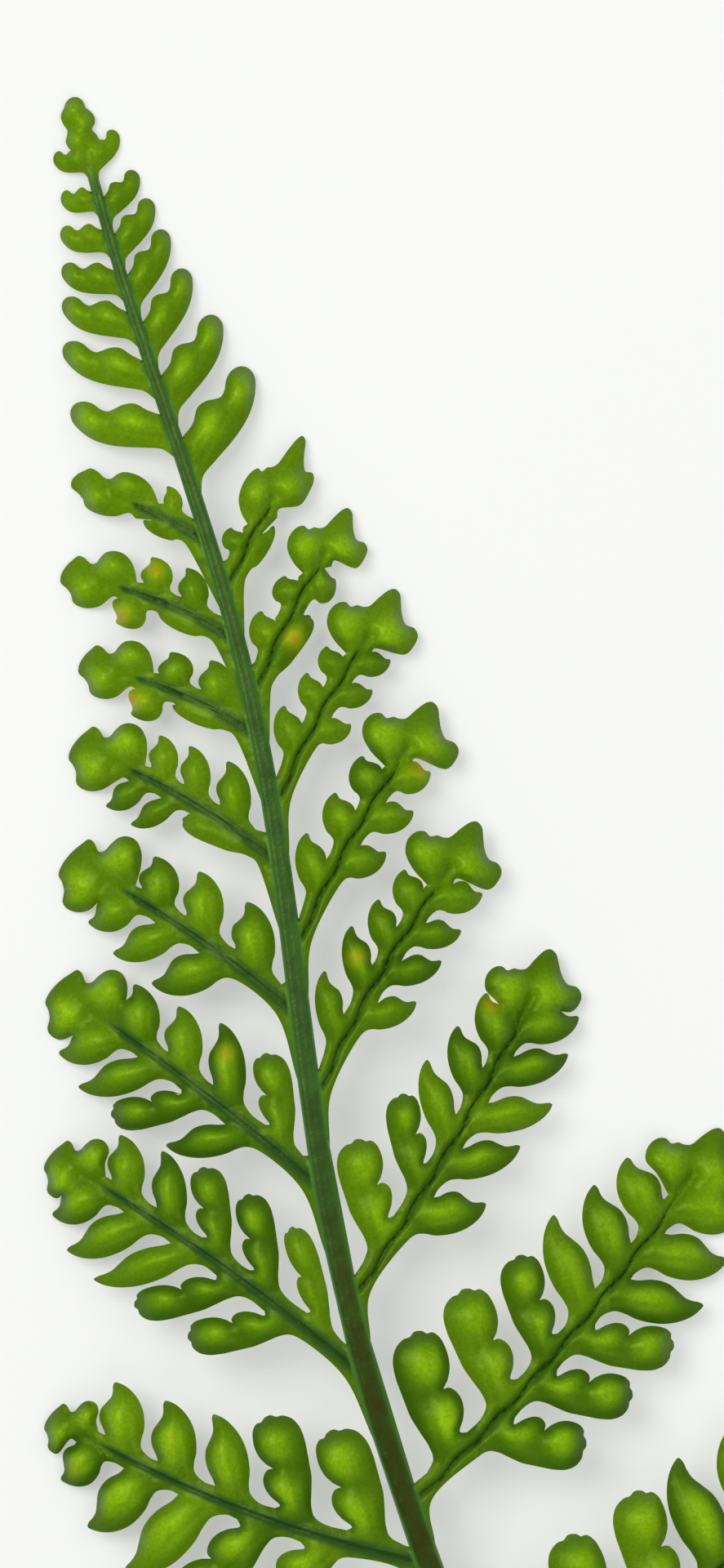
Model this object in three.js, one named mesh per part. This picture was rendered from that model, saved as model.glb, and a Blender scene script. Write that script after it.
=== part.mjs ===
// Bear's foot fern: one frond, as picked, lying face up on the surface that it rests on.
// Millimetres and degrees. +Y runs along the frond to its tip and +Z is up. The origin is the
// middle of the frond's box, on the surface.
//
// The frond is laid out flat as one net of triangles: the rachis is a strip, each pinna is a
// narrower strip that starts on an edge of the rachis, and each lobe is a fan round its own dome
// that starts on an edge of its strip. The net is then bent into an arch and given its thickness.
import * as THREE from "three";

// Lengths along the frond
const STIPE_LENGTH = 49;
const BLADE_LENGTH = 150.5;
const FROND_LENGTH = STIPE_LENGTH + BLADE_LENGTH;

// Rachis: its width, its depth, and the slow sideways wave that it grows in
const RACHIS_WIDTH = 2.3;
const RACHIS_TIP_WIDTH = 0.8;
const RACHIS_TAPER_POWER = 1.6;
const RACHIS_DEPTH = 2;
const RACHIS_TIP_DEPTH = 0.9;
const RACHIS_EDGE_DEPTH = 0.55;
const RACHIS_EDGE_LIFT = 0.08;
const JOINT_SWELLING = 1.35;
const JOINT_LENGTH = 3;
const SWAY = 2.05;
const SWAY_LENGTH = 112;
const SWAY_CREST = 149;
const TIP_STRAIGHTENING = 0.5;
const STRAIGHTENING_POWER = 6;
const NET_STEP = 6;

// Arch: how high the rachis lifts, and how far out the blade comes down to the surface
const ARCH_HEIGHT = 6.5;
const ARCH_SKEW = 0.9;
const TIP_HEIGHT = 0.3;
const SPREAD_AT_TIP = 2;
const LEFT_SPREAD_PER_LENGTH = 0.245;
const RIGHT_SPREAD_PER_LENGTH = 0.295;
const SIDE_FALL_POWER = 1.8;

// Pinna: its costa and the wing that runs from it down the rachis
const COSTA_WIDTH = 1.15;
const COSTA_TIP_WIDTH = 0.6;
const COSTA_DEPTH = 1.2;
const WING_LENGTH = 2.6;
const WING_REACH = 3.4;
const WING_CREST = 2;
const WING_WIDTH = 0.9;
const UPPER_AXIL = 1.9;

// Lobes: skin, dome, and how they fill the room along a costa
const SKIN = 0.7;
const DOME_LIFT = 0.55;
const TIP_CURL = 0.25;
const LOBE_FILL = 0.96;
const WIDE_SHARES = [0.3, 0.6, 0.95];
const LOBE_WIDTH = 1.1;
const LOBE_WIDTH_SHARE = 0.4;
const LOBE_WIDEST = 4.6;
const LOBE_SLIT = 0.35;
const UPPER_TILT = 7;
const LOWER_LEAN_GAIN = 12;
const LOWER_LEAN_SHARE = 0.6;
const MIDDLE_LEAN = 45;
const LOBE_CROWDING = 0.93;
const TWO_PARTS_FROM = 7.8;
const THREE_PARTS_FROM = 10.8;
const PART_SHARE = 0.92;
const NECK_LIFT = 0.25;
const LOBE_PEAK = 0.42;
const PART_PEAK = 0.55;
const FEW_POINTS_UNDER = 4.6;
const END_WIDTH = 1.2;
const SHORTEST_END = 3.3;
const END_DOME = 0.44;
const LEAN_DRAW = 2;
const LENGTH_DRAW = 0.06;
const CURVE_DRAW = 0.05;
const SEED = 7;

// Where the first and last lobes of a pinna stand, from its root and from its end. How long its
// lobes are: a share of its own length that starts, slopes and turns along it, less a little. And
// how far the lobes below the costa lean from it at its root
const LEFT_LOBES = {
  first: 4.6,
  last: 6,
  upper: [0.36, -0.2, 0],
  upperLess: 0.9,
  lower: [0.22, 0.62, -0.8],
  lowerLess: 1.9,
  lowerLean: 48,
};
const RIGHT_LOBES = {
  first: 5.1,
  last: 6.2,
  upper: [0.34, -0.19, 0],
  upperLess: 1.6,
  lower: [0.13, 0.42, -0.45],
  lowerLess: 0.5,
  lowerLean: 42,
};

// Each pinna from the foot of the blade up: where it leaves the rachis, measured from the top of
// the stipe, its length, its lean from the frond's length, how far its lean grows from root to tip,
// and how many lobes stand along it, first one above, then one below, and so on.
const LEFT_PINNAE = [
  { at: -1.2, length: 42.5, lean: 61, bend: -12, lobes: 13 },
  { at: 21, length: 35, lean: 56, bend: -18, lobes: 11 },
  { at: 37.5, length: 33.4, lean: 42, bend: 12, lobes: 10 },
  { at: 54, length: 29.2, lean: 40, bend: 8, lobes: 9 },
  { at: 69, length: 24.4, lean: 43, bend: 14, lobes: 7 },
  { at: 82, length: 20.8, lean: 47, bend: 20, lobes: 6 },
  { at: 93.2, length: 16.8, lean: 55, bend: 24, lobes: 5 },
  { at: 101.5, length: 16.4, lean: 56, bend: 26, lobes: 5 },
  { at: 110.2, length: 13.2, lean: 54, bend: 24, lobes: 3 },
];
const RIGHT_PINNAE = [
  { at: 3.6, length: 46, lean: 61, bend: -14, lobes: 13 },
  { at: 26, length: 42, lean: 54, bend: -12, lobes: 13 },
  { at: 44.4, length: 35, lean: 44, bend: -8, lobes: 11 },
  { at: 61, length: 28.4, lean: 45, bend: 18, lobes: 9 },
  { at: 74, length: 25, lean: 44, bend: 16, lobes: 7 },
  { at: 86.2, length: 22.2, lean: 44, bend: 20, lobes: 6 },
  { at: 96, length: 18.8, lean: 42, bend: 18, lobes: 5 },
  { at: 105.5, length: 15.4, lean: 43, bend: 16, lobes: 3 },
];

// The small pinnae near the tip are single lobes that curve toward it
const LEFT_SMALL = [
  { at: 119.9, length: 9.3, lean: 67, width: 3.6, curve: 0.08 },
  { at: 124.9, length: 8.6, lean: 61, width: 3.2, curve: 0.08 },
  { at: 129.5, length: 7.1, lean: 61, width: 2.9, curve: 0.08 },
  { at: 133.5, length: 5.7, lean: 65, width: 2.6, curve: 0.07 },
  { at: 137.3, length: 4.6, lean: 67, width: 2.4, curve: 0.07 },
  { at: 140.9, length: 3.5, lean: 68, width: 2.1, curve: 0.05 },
  { at: 143.8, length: 3.3, lean: 64, width: 1.9, curve: 0.05 },
];
const RIGHT_SMALL = [
  { at: 116.6, length: 10.5, lean: 47, width: 3.8, curve: 0.06 },
  { at: 122.5, length: 9.1, lean: 46, width: 3.3, curve: 0.06 },
  { at: 127.5, length: 8, lean: 42, width: 2.9, curve: 0.06 },
  { at: 132, length: 7, lean: 42, width: 2.6, curve: 0.06 },
  { at: 136.2, length: 5.8, lean: 48, width: 2.4, curve: 0.06 },
  { at: 139.8, length: 4.8, lean: 52, width: 2.2, curve: 0.06 },
  { at: 143, length: 4, lean: 49, width: 1.9, curve: 0.06 },
];
const TIP_LENGTH = 5;
const TIP_WIDTH = 3.1;

// Outlines. Along is a share of the way from the edge that carries the lobe to its end, and across
// a share of its width, positive toward the tip of what carries it. The two root corners are apart.
const ROOT = [-0.4, 0.3];
const LOBE_OUTLINE = [
  [0.24, -0.46], [0.6, -0.5], [0.86, -0.34], [1, 0.02],
  [0.84, 0.12], [0.72, 0.38], [0.42, 0.48], [0.16, 0.4],
];
const ROUND_OUTLINE = [
  [0.3, -0.5], [0.68, -0.48], [0.93, -0.3], [1, 0], [0.9, 0.3], [0.6, 0.48], [0.25, 0.42],
];
const PLAIN_EDGE = [[0.5, -0.5]];
const BUMPED_EDGE = [[0.28, -0.48], [0.74, -0.5]];
const SHOULDER_EDGE = [[0.84, 0.38], [0.5, 0.5], [0.16, 0.4]];
const NECK = [-0.44, 0.22];
const END_OUTLINE = [
  [0.2, -0.34], [0.56, -0.56], [0.88, -0.42], [0.84, -0.12],
  [1, 0.14], [0.9, 0.52], [0.5, 0.46],
];

const radians = THREE.MathUtils.degToRad;
const lerp = THREE.MathUtils.lerp;

let draws = 0;

function drawn(low, high) {
  draws += 1;
  const scattered = Math.sin(SEED + draws * 12.9898) * 43758.5453;
  return lerp(low, high, scattered - Math.floor(scattered));
}

// The bent surface that the middle of the blade follows

function rachisX(y) {
  const calmer = 1 - TIP_STRAIGHTENING * (y / FROND_LENGTH) ** STRAIGHTENING_POWER;
  return SWAY * calmer * Math.cos((2 * Math.PI * (y - SWAY_CREST)) / SWAY_LENGTH);
}

function rachisZ(y) {
  const share = THREE.MathUtils.clamp(y / FROND_LENGTH, 0, 1);
  const resting = lerp(RACHIS_DEPTH / 2, TIP_HEIGHT, share);
  return resting + ARCH_HEIGHT * Math.sin(Math.PI * share ** ARCH_SKEW);
}

function rachisLean(y) {
  return Math.atan((rachisX(y + NET_STEP) - rachisX(y)) / NET_STEP);
}

function bladeZ(x, y) {
  const aside = x - rachisX(y);
  const perLength = aside < 0 ? LEFT_SPREAD_PER_LENGTH : RIGHT_SPREAD_PER_LENGTH;
  const spread = SPREAD_AT_TIP + perLength * Math.max(FROND_LENGTH - y, 0);
  const out = Math.abs(aside) / spread;
  return rachisZ(y) * (1 - out ** SIDE_FALL_POWER);
}

// The flat net

const places = [];
const triangles = [];

function place(x, y, lift, depth) {
  places.push({ x, y, lift, depth });
  return places.length - 1;
}

function apart(a, b) {
  return Math.hypot(places[a].x - places[b].x, places[a].y - places[b].y);
}

function triangle(a, b, c) {
  const [p, q, r] = [places[a], places[b], places[c]];
  const area = (q.x - p.x) * (r.y - p.y) - (r.x - p.x) * (q.y - p.y);
  triangles.push(area > 0 ? [a, b, c] : [a, c, b]);
}

function fan(ring, hub) {
  ring.forEach((corner, index) => {
    triangle(hub, corner, ring[(index + 1) % ring.length]);
  });
}

function fillBetween(middle, edge) {
  let i = 0;
  let j = 0;
  while (i < middle.length - 1 || j < edge.length - 1) {
    const middleCan = i < middle.length - 1;
    const edgeCan = j < edge.length - 1;
    const middleNext = middleCan ? apart(middle[i + 1], edge[j]) : Infinity;
    const edgeNext = edgeCan ? apart(middle[i], edge[j + 1]) : Infinity;
    if (middleNext < edgeNext) {
      triangle(middle[i], middle[i + 1], edge[j]);
      i += 1;
    } else {
      triangle(middle[i], edge[j + 1], edge[j]);
      j += 1;
    }
  }
}

// A lobe stands on an edge of what carries it, its bearer. Its own axes are its outward direction
// and the crosswise one toward the bearer's tip. Its root follows the edge, however it leans.

function outwardFrom({ along, up }, lean) {
  return {
    x: along.x * Math.cos(lean) + up.x * Math.sin(lean),
    y: along.y * Math.cos(lean) + up.y * Math.sin(lean),
  };
}

function standOn(bearer, lean, length, width, curve) {
  const { origin, along, up, half } = bearer;
  const outward = outwardFrom(bearer, lean);
  const crosswise = {
    x: along.x * Math.sin(lean) - up.x * Math.cos(lean),
    y: along.y * Math.sin(lean) - up.y * Math.cos(lean),
  };
  return {
    width,
    edgeShift: (across) => half / Math.tan(lean) + (across * width) / Math.sin(lean),
    at(share, across, lift) {
      const side = across * width;
      const start = half / Math.sin(lean) + side / Math.tan(lean);
      const out = lerp(start, length, share);
      const sideways = side + (curve * Math.max(out, 0) ** 2) / length;
      return place(
        origin.x + outward.x * out + crosswise.x * sideways,
        origin.y + outward.y * out + crosswise.y * sideways,
        lift,
        SKIN,
      );
    },
    length,
  };
}

function growLobe(stand, corners, start, dome) {
  const few = stand.length * (1 - start) < FEW_POINTS_UNDER;
  const shape = start > 0 ? ROUND_OUTLINE : LOBE_OUTLINE;
  const outline = shape.filter((point, index) => !(few && index === 1));
  const rim = outline.map(([along, across]) => {
    const curl = along === 1 ? -TIP_CURL : 0;
    return stand.at(lerp(start, 1, along), across, curl);
  });
  fan([corners[0], ...rim, corners[1]], stand.at(lerp(start, 1, LOBE_PEAK), 0, dome));
}

function growLobedPart(stand, corners, from, to, dome, lowerEdge) {
  const onPart = ([along, across]) => stand.at(lerp(from, to, along), across, 0);
  const lower = lowerEdge.map(onPart);
  const neck = NECK.map((across) => stand.at(to, across, dome * NECK_LIFT));
  const upper = SHOULDER_EDGE.map(onPart);
  const ring = [corners[0], ...lower, ...neck, ...upper, corners[1]];
  fan(ring, stand.at(lerp(from, to, PART_PEAK), 0, dome));
  return neck;
}

function growPinnule(stand, corners, parts) {
  const dome = DOME_LIFT * Math.min(stand.width / LOBE_WIDEST, 1);
  let standing = corners;
  let from = 0;
  for (let part = 0; part < parts - 1; part += 1) {
    const to = lerp(from, 1, PART_SHARE / (parts - part));
    const edge = parts === 3 && part === 0 ? BUMPED_EDGE : PLAIN_EDGE;
    standing = growLobedPart(stand, standing, from, to, dome, edge);
    from = to;
  }
  growLobe(stand, standing, from, dome);
}

// A pinna: an arc of a costa with lobes along both edges and a blunt end

function costaArc(root, pinna, side) {
  const turn = radians(pinna.bend);
  const first = radians(pinna.lean - pinna.bend / 2);
  const lean = (s) => first + (turn * s) / pinna.length;
  const swept = (s, wave) => (pinna.length / turn) * (wave(lean(s)) - wave(first));
  return {
    lean,
    point: (s) => ({
      x: root.x + side * swept(s, (angle) => -Math.cos(angle)),
      y: root.y + swept(s, Math.sin),
    }),
    outward: (s) => ({ x: side * Math.sin(lean(s)), y: Math.cos(lean(s)) }),
    upward: (s) => ({ x: -side * Math.cos(lean(s)), y: Math.sin(lean(s)) }),
  };
}

function costaHalf(share) {
  return lerp(COSTA_WIDTH, COSTA_TIP_WIDTH, share) / 2;
}

function acrossFrom(point, line) {
  const x = point.x - line.origin.x;
  const y = point.y - line.origin.y;
  return Math.abs(x * line.outward.y - y * line.outward.x);
}

function alongAxis({ origin, outward, length }, share) {
  return {
    x: origin.x + outward.x * length * share,
    y: origin.y + outward.y * length * share,
  };
}

function roomBetween(lobe, other) {
  return Math.min(...WIDE_SHARES.flatMap((share) => [
    acrossFrom(alongAxis(lobe, share), other),
    acrossFrom(alongAxis(other, share), lobe),
  ]));
}

function roomByRachis(lobe) {
  return 2 * Math.min(...WIDE_SHARES.map((share) => {
    const { x, y } = alongAxis(lobe, share);
    return Math.abs(x - rachisX(y)) - rachisHalf(y) - LOBE_SLIT;
  }));
}

function lobePlan(pinna, side, arc) {
  const growth = side < 0 ? LEFT_LOBES : RIGHT_LOBES;
  const step = (index) => {
    const share = index / (pinna.lobes - 1);
    const crowded = Math.sign(share) * Math.abs(share) ** LOBE_CROWDING;
    return lerp(growth.first, pinna.length - growth.last, crowded);
  };
  const lowerGain = LOWER_LEAN_SHARE * (pinna.lean - MIDDLE_LEAN);
  const beside = side * rachisLean(arc.point(0).y);
  const plan = Array.from({ length: pinna.lobes }, (nothing, index) => {
    const s = step(index);
    const t = s / pinna.length;
    const flank = index % 2 === 0 ? 1 : -1;
    const [start, slope, turn] = flank > 0 ? growth.upper : growth.lower;
    const less = flank > 0 ? growth.upperLess : growth.lowerLess;
    const length = (start + slope * t + turn * t * t) * pinna.length - less;
    const upperLean = arc.lean(s) + radians(UPPER_TILT * t) - beside * (1 - t);
    const lowerLean = radians(growth.lowerLean + LOWER_LEAN_GAIN * t + lowerGain);
    const lean = (flank > 0 ? upperLean : lowerLean) + radians(drawn(-LEAN_DRAW, LEAN_DRAW));
    const up = arc.upward(s);
    const bearer = {
      origin: arc.point(s),
      along: arc.outward(s),
      up: { x: up.x * flank, y: up.y * flank },
      half: costaHalf(t),
    };
    return {
      s,
      flank,
      bearer,
      lean,
      length: length * (1 + drawn(-LENGTH_DRAW, LENGTH_DRAW)),
      curve: drawn(0, CURVE_DRAW),
      origin: bearer.origin,
      outward: outwardFrom(bearer, lean),
    };
  });
  plan.forEach((lobe, index) => {
    const others = [plan[index - 2], plan[index + 2]].filter((other) => other);
    const rooms = others.map((other) => LOBE_FILL * roomBetween(lobe, other));
    if (index === 0) rooms.push(roomByRachis(lobe));
    lobe.width = Math.min(...rooms, LOBE_WIDTH + LOBE_WIDTH_SHARE * lobe.length, LOBE_WIDEST);
  });
  return plan;
}

function partsFor(lobe) {
  if (lobe.length > THREE_PARTS_FROM) return 3;
  return lobe.length > TWO_PARTS_FROM ? 2 : 1;
}

function growPinna(root, pinna, side, rootCorners) {
  const arc = costaArc(root, pinna, side);
  const plan = lobePlan(pinna, side, arc);
  const costaPlace = (s, offset, depth) => {
    const point = arc.point(s);
    const up = arc.upward(s);
    return place(point.x + up.x * offset, point.y + up.y * offset, 0, depth);
  };
  const depthAt = (s) => lerp(COSTA_DEPTH, SKIN, s / pinna.length);

  const rows = new Map();
  let end = 0;
  [1, -1].forEach((flank) => {
    const row = [flank > 0 ? rootCorners.upper : rootCorners.lower];
    let last = UPPER_AXIL;
    if (flank < 0) {
      row.push(costaPlace(WING_CREST, -WING_WIDTH, SKIN));
      last = WING_REACH;
    }
    plan.filter((lobe) => lobe.flank === flank).forEach((lobe) => {
      const { s, bearer, lean, length, width, curve } = lobe;
      const stand = standOn(bearer, lean, length, width, curve);
      const corners = ROOT.map((across) => {
        const corner = Math.max(s + stand.edgeShift(across), last);
        last = corner + LOBE_SLIT / 2;
        return costaPlace(corner, flank * bearer.half, SKIN);
      });
      row.push(...corners);
      growPinnule(stand, corners, partsFor(lobe));
      end = Math.max(end, s + stand.edgeShift(0.5) + LOBE_SLIT);
    });
    rows.set(flank, row);
  });

  const middle = [rootCorners.middle];
  plan.forEach((lobe) => middle.push(costaPlace(lobe.s, 0, depthAt(lobe.s))));
  middle.push(costaPlace(end, 0, depthAt(end)));
  rows.forEach((row, flank) => {
    row.push(costaPlace(end, flank * costaHalf(1), SKIN));
    fillBetween(middle, row);
  });
  const bearer = {
    origin: arc.point(end),
    along: arc.upward(end),
    up: arc.outward(end),
    half: 0,
  };
  const foot = [rows.get(-1).at(-1), rows.get(1).at(-1)];
  const length = Math.max(pinna.length - end, SHORTEST_END);
  growEnd(bearer, length, length * END_WIDTH, foot, middle.at(-1));
}

// A blunt end with three low points

function growEnd(bearer, length, width, foot, middle) {
  const stand = standOn(bearer, Math.PI / 2, length, width, 0);
  const rim = END_OUTLINE.map(([along, across]) => stand.at(along, across, 0));
  fan([middle, foot[0], ...rim, foot[1]], stand.at(0.5, 0, END_DOME));
}

// The rachis: a middle row of places and one row along each edge, where the pinnae root

function rachisHalf(y) {
  const share = THREE.MathUtils.clamp((y - STIPE_LENGTH) / BLADE_LENGTH, 0, 1);
  const half = lerp(RACHIS_WIDTH, RACHIS_TIP_WIDTH, share ** RACHIS_TAPER_POWER) / 2;
  const swelling = THREE.MathUtils.clamp(1 - y / JOINT_LENGTH, 0, 1);
  return half * lerp(1, JOINT_SWELLING, swelling);
}

function rachisDepth(y) {
  const share = THREE.MathUtils.clamp((y - STIPE_LENGTH) / BLADE_LENGTH, 0, 1);
  return lerp(RACHIS_DEPTH, RACHIS_TIP_DEPTH, share);
}

function rachisPlace(y, across) {
  const depth = rachisDepth(y) * (across === 0 ? 1 : RACHIS_EDGE_DEPTH);
  const lift = across === 0 ? 0 : RACHIS_EDGE_LIFT;
  return place(rachisX(y) + across * rachisHalf(y), y, lift, depth);
}

function growRachis() {
  const end = FROND_LENGTH - TIP_LENGTH;
  const middle = [rachisPlace(0, 0)];
  const steps = Math.ceil((end - JOINT_LENGTH) / NET_STEP);
  for (let step = 0; step <= steps; step += 1) {
    middle.push(rachisPlace(lerp(JOINT_LENGTH, end, step / steps), 0));
  }
  const corners = [];
  [[-1, LEFT_PINNAE, LEFT_SMALL], [1, RIGHT_PINNAE, RIGHT_SMALL]].forEach((flank) => {
    const [side, pinnae, small] = flank;
    const row = [];
    const fillTo = (y) => {
      const from = places[row.at(-1)].y;
      const count = Math.ceil((y - from) / NET_STEP);
      for (let step = 1; step < count; step += 1) {
        row.push(rachisPlace(from + ((y - from) * step) / count, side));
      }
    };
    row.push(rachisPlace(0, side), rachisPlace(JOINT_LENGTH, side));
    pinnae.forEach((pinna) => {
      const y = STIPE_LENGTH + pinna.at;
      const half = rachisHalf(y);
      const first = radians(pinna.lean - pinna.bend / 2);
      const leave = y + half / Math.tan(first);
      const reach = COSTA_WIDTH / 2 / Math.sin(first);
      fillTo(leave - reach - WING_LENGTH);
      const lower = rachisPlace(leave - reach - WING_LENGTH, side);
      const centre = rachisPlace(leave, side);
      const upper = rachisPlace(leave + reach, side);
      row.push(lower, centre, upper);
      growPinna({ x: rachisX(y), y }, pinna, side, { lower, middle: centre, upper });
    });
    small.forEach((pinna) => {
      const y = STIPE_LENGTH + pinna.at;
      const bearer = {
        origin: { x: rachisX(y), y },
        along: { x: 0, y: 1 },
        up: { x: side, y: 0 },
        half: rachisHalf(y),
      };
      const lean = radians(pinna.lean);
      const stand = standOn(bearer, lean, pinna.length, pinna.width, pinna.curve);
      const [proximal, distal] = ROOT.map((across) => y + stand.edgeShift(across));
      fillTo(proximal);
      const footing = [rachisPlace(proximal, side), rachisPlace(distal, side)];
      row.push(...footing);
      growPinnule(stand, footing, 1);
    });
    fillTo(end);
    const last = rachisPlace(end, side);
    row.push(last);
    corners.push(last);
    fillBetween(middle, row);
  });
  const bearer = {
    origin: { x: rachisX(end), y: end },
    along: { x: 1, y: 0 },
    up: { x: 0, y: 1 },
    half: 0,
  };
  growEnd(bearer, TIP_LENGTH, TIP_WIDTH, corners, middle.at(-1));
}

// The bent solid: an upper and a lower face with the same triangles, and a wall round the rim

function thicken() {
  const upperFace = [];
  const lowerFace = [];
  places.forEach(({ x, y, lift, depth }) => {
    const low = Math.max(bladeZ(x, y) + lift - depth / 2, 0);
    lowerFace.push([x, y, low]);
    upperFace.push([x, y, low + depth]);
  });
  const count = places.length;
  const used = new Map();
  const faces = [];
  triangles.forEach(([a, b, c]) => {
    faces.push([a, b, c], [a + count, c + count, b + count]);
    [[a, b], [b, c], [c, a]].forEach(([from, to]) => {
      used.set(`${from},${to}`, [from, to]);
    });
  });
  used.forEach(([from, to]) => {
    if (!used.has(`${to},${from}`)) {
      faces.push([to, from, from + count], [to, from + count, to + count]);
    }
  });
  return { vertices: [...upperFace, ...lowerFace], faces };
}

function centred(vertices) {
  const box = new THREE.Box3().setFromPoints(vertices.map((v) => new THREE.Vector3(...v)));
  const middle = box.getCenter(new THREE.Vector3());
  return vertices.map(([x, y, z]) => [x - middle.x, y - middle.y, z - box.min.z]);
}

function solidGeometry() {
  const { vertices, faces } = thicken();
  const geometry = new THREE.BufferGeometry();
  const positions = new Float32Array(centred(vertices).flat());
  geometry.setAttribute("position", new THREE.BufferAttribute(positions, 3));
  geometry.setIndex(faces.flat());
  geometry.computeVertexNormals();
  return geometry;
}

growRachis();

const leaf = new THREE.MeshStandardMaterial({ color: 0x4f8a18, roughness: 0.45, metalness: 0 });
const frond = new THREE.Mesh(solidGeometry(), leaf);
frond.name = "frond";

const fern = new THREE.Group();
fern.add(frond);

export default fern;
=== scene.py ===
"""Bear's foot fern: the looks of one frond that lies face up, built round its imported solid."""
import math
import random

import bpy
import numpy as np
from mathutils import Matrix, Vector, geometry, kdtree


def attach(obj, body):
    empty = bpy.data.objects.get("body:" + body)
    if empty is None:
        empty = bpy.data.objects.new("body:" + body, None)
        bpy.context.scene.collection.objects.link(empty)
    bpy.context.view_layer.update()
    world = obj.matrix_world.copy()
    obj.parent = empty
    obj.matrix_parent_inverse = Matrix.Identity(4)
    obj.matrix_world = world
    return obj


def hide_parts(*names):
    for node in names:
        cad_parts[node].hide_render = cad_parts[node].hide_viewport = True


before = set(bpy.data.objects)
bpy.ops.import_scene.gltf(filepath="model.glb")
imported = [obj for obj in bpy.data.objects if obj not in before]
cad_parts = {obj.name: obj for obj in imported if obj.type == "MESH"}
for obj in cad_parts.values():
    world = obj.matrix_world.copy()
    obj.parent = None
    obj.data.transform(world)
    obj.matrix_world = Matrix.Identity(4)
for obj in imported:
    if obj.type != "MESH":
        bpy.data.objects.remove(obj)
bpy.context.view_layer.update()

bl_info = {
    "name": "Bear's foot fern frond",
    "version": (1, 0, 0),
    "blender": (4, 5, 0),
    "location": "3D View > Sidebar > Fern",
    "description": "Grows the blade, stalk and spore cases of one bear's foot fern frond",
    "category": "Add Mesh",
}

MM = 0.001

# The frond's layout, in millimetres and degrees, from its foot at y = 0 up. It is the packed
# solid's layout, with finer outlines.
STIPE_LENGTH = 49
BLADE_LENGTH = 150.5
FROND_LENGTH = STIPE_LENGTH + BLADE_LENGTH
RACHIS_WIDTH, RACHIS_TIP_WIDTH, RACHIS_TAPER_POWER = 2.3, 0.8, 1.6
RACHIS_DEPTH, RACHIS_TIP_DEPTH = 2.0, 0.9
JOINT_SWELLING, JOINT_LENGTH = 1.35, 3
STALK_HEIGHTS = (1.2, 2.2, 3.4, 8, 16, 24, 32, 40)
FOOT_CURVE, FOOT_WIDE_AT = ((-0.94, 0.5), (-0.7, 0.1), (0, 0), (0.7, 0.1), (0.94, 0.5)), 0.3
SWAY, SWAY_LENGTH, SWAY_CREST = 2.05, 112, 149
TIP_STRAIGHTENING, STRAIGHTENING_POWER = 0.5, 6
ARCH_HEIGHT, ARCH_SKEW, TIP_HEIGHT = 6.5, 0.9, 0.3
SPREAD_AT_TIP = 2
SPREAD_PER_LENGTH = {-1: 0.245, 1: 0.295}
SIDE_FALL_POWER = 1.8
COSTA_WIDTH, COSTA_TIP_WIDTH = 1.15, 0.6
WEB_WIDTH, WEB_TIP_WIDTH = 2.2, 1.7
WING_LENGTH, WING_WIDTH = {-1: 4.6, 1: 2.8}, {-1: 1.2, 1: 0.95}
WING_REACH, WING_CREST = 2.9, 1.7
UPPER_AXIL = 1.9
LOBE_FILL, PARTED_FILL = 0.97, 0.9
WIDE_SHARES = (0.5, 0.65)
LOBE_WIDTH, LOBE_WIDTH_SHARE, LOBE_WIDEST = 2.6, 0.22, 4.7
LOBE_SLIT = 0.35
UPPER_TILT = 7
LOWER_LEAN_GAIN, LOWER_LEAN_SHARE, MIDDLE_LEAN = 12, 0.9, 45
LOBE_CROWDING = 0.88
TWO_PARTS_FROM, THREE_PARTS_FROM, PARTED_BEFORE, PART_SHARE = 8.5, 12.2, 0.5, 0.92
END_WIDTH, SHORTEST_END, END_BREADTH_SHARE = {-1: 1.24, 1: 1.16}, 3.9, 0.33
FAR_SIDE, FAR_HORN, END_SLIT, FAR_FADE = 0.52, 0.14, 0.25, (0.55, 0.9)
PRESSED_UNDER, PRESSED_AT, PRESSED_LEAN = 22, 0.4, 15
PRESSED_WIDTH, PRESSED_SHARE, PRESSED_REACH = 1.8, 0.44, 1.9
FIRST_SHARE, LONG_PINNA, LEAST_FROM_END = 0.22, 30, 5
LEAN_DRAW, LENGTH_DRAW, CURVE_DRAW = 2, 0.06, 0.05
LATEST_START, END_ROOT, COSTA_INTO_END = 0.45, 0.05, 0.35
TIP_LENGTH, TIP_WIDTH = 5, 3.1
NET_STEP = 6
SEED = 7

# Lobes along a pinna: first and last place, how much less far from the end the last one is on a
# long pinna, length shares above and below, and the lower lean
LOBES = {
    -1: {"first": 4.4, "last": 7.5, "long_less": 0.45, "upper": (0.36, -0.2, 0),
         "upper_less": 0.7, "lower": (0.26, 0.62, -0.8), "lower_less": 2.3, "lean": 49},
    1: {"first": 5.2, "last": 8, "long_less": 0, "upper": (0.37, -0.2, 0),
        "upper_less": 2.2, "lower": (0.235, 0.26, -0.35), "lower_less": 2.2, "lean": 42},
}

# Pinnae from the foot of the blade up: at, length, lean, bend, lobes
PINNAE = {
    -1: [
        (-1.2, 42.5, 61, -12, 12), (21, 35, 56, -18, 10), (37.5, 33.4, 42, 12, 10),
        (54, 29.2, 40, 8, 8), (69, 24.4, 43, 14, 6), (82, 20.8, 47, 20, 6),
        (93.2, 16.8, 55, 24, 4), (101.5, 16.4, 56, 26, 4), (110.2, 13.2, 54, 24, 2),
    ],
    1: [
        (3.6, 46, 61, -14, 12), (26, 42, 54, -12, 12), (44, 35, 44, -8, 10),
        (61, 28.4, 45, 18, 8), (74, 25, 44, 16, 6), (86.2, 22.2, 44, 20, 6),
        (96, 18.8, 42, 18, 4), (105.5, 15.4, 43, 16, 2),
    ],
}

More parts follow.
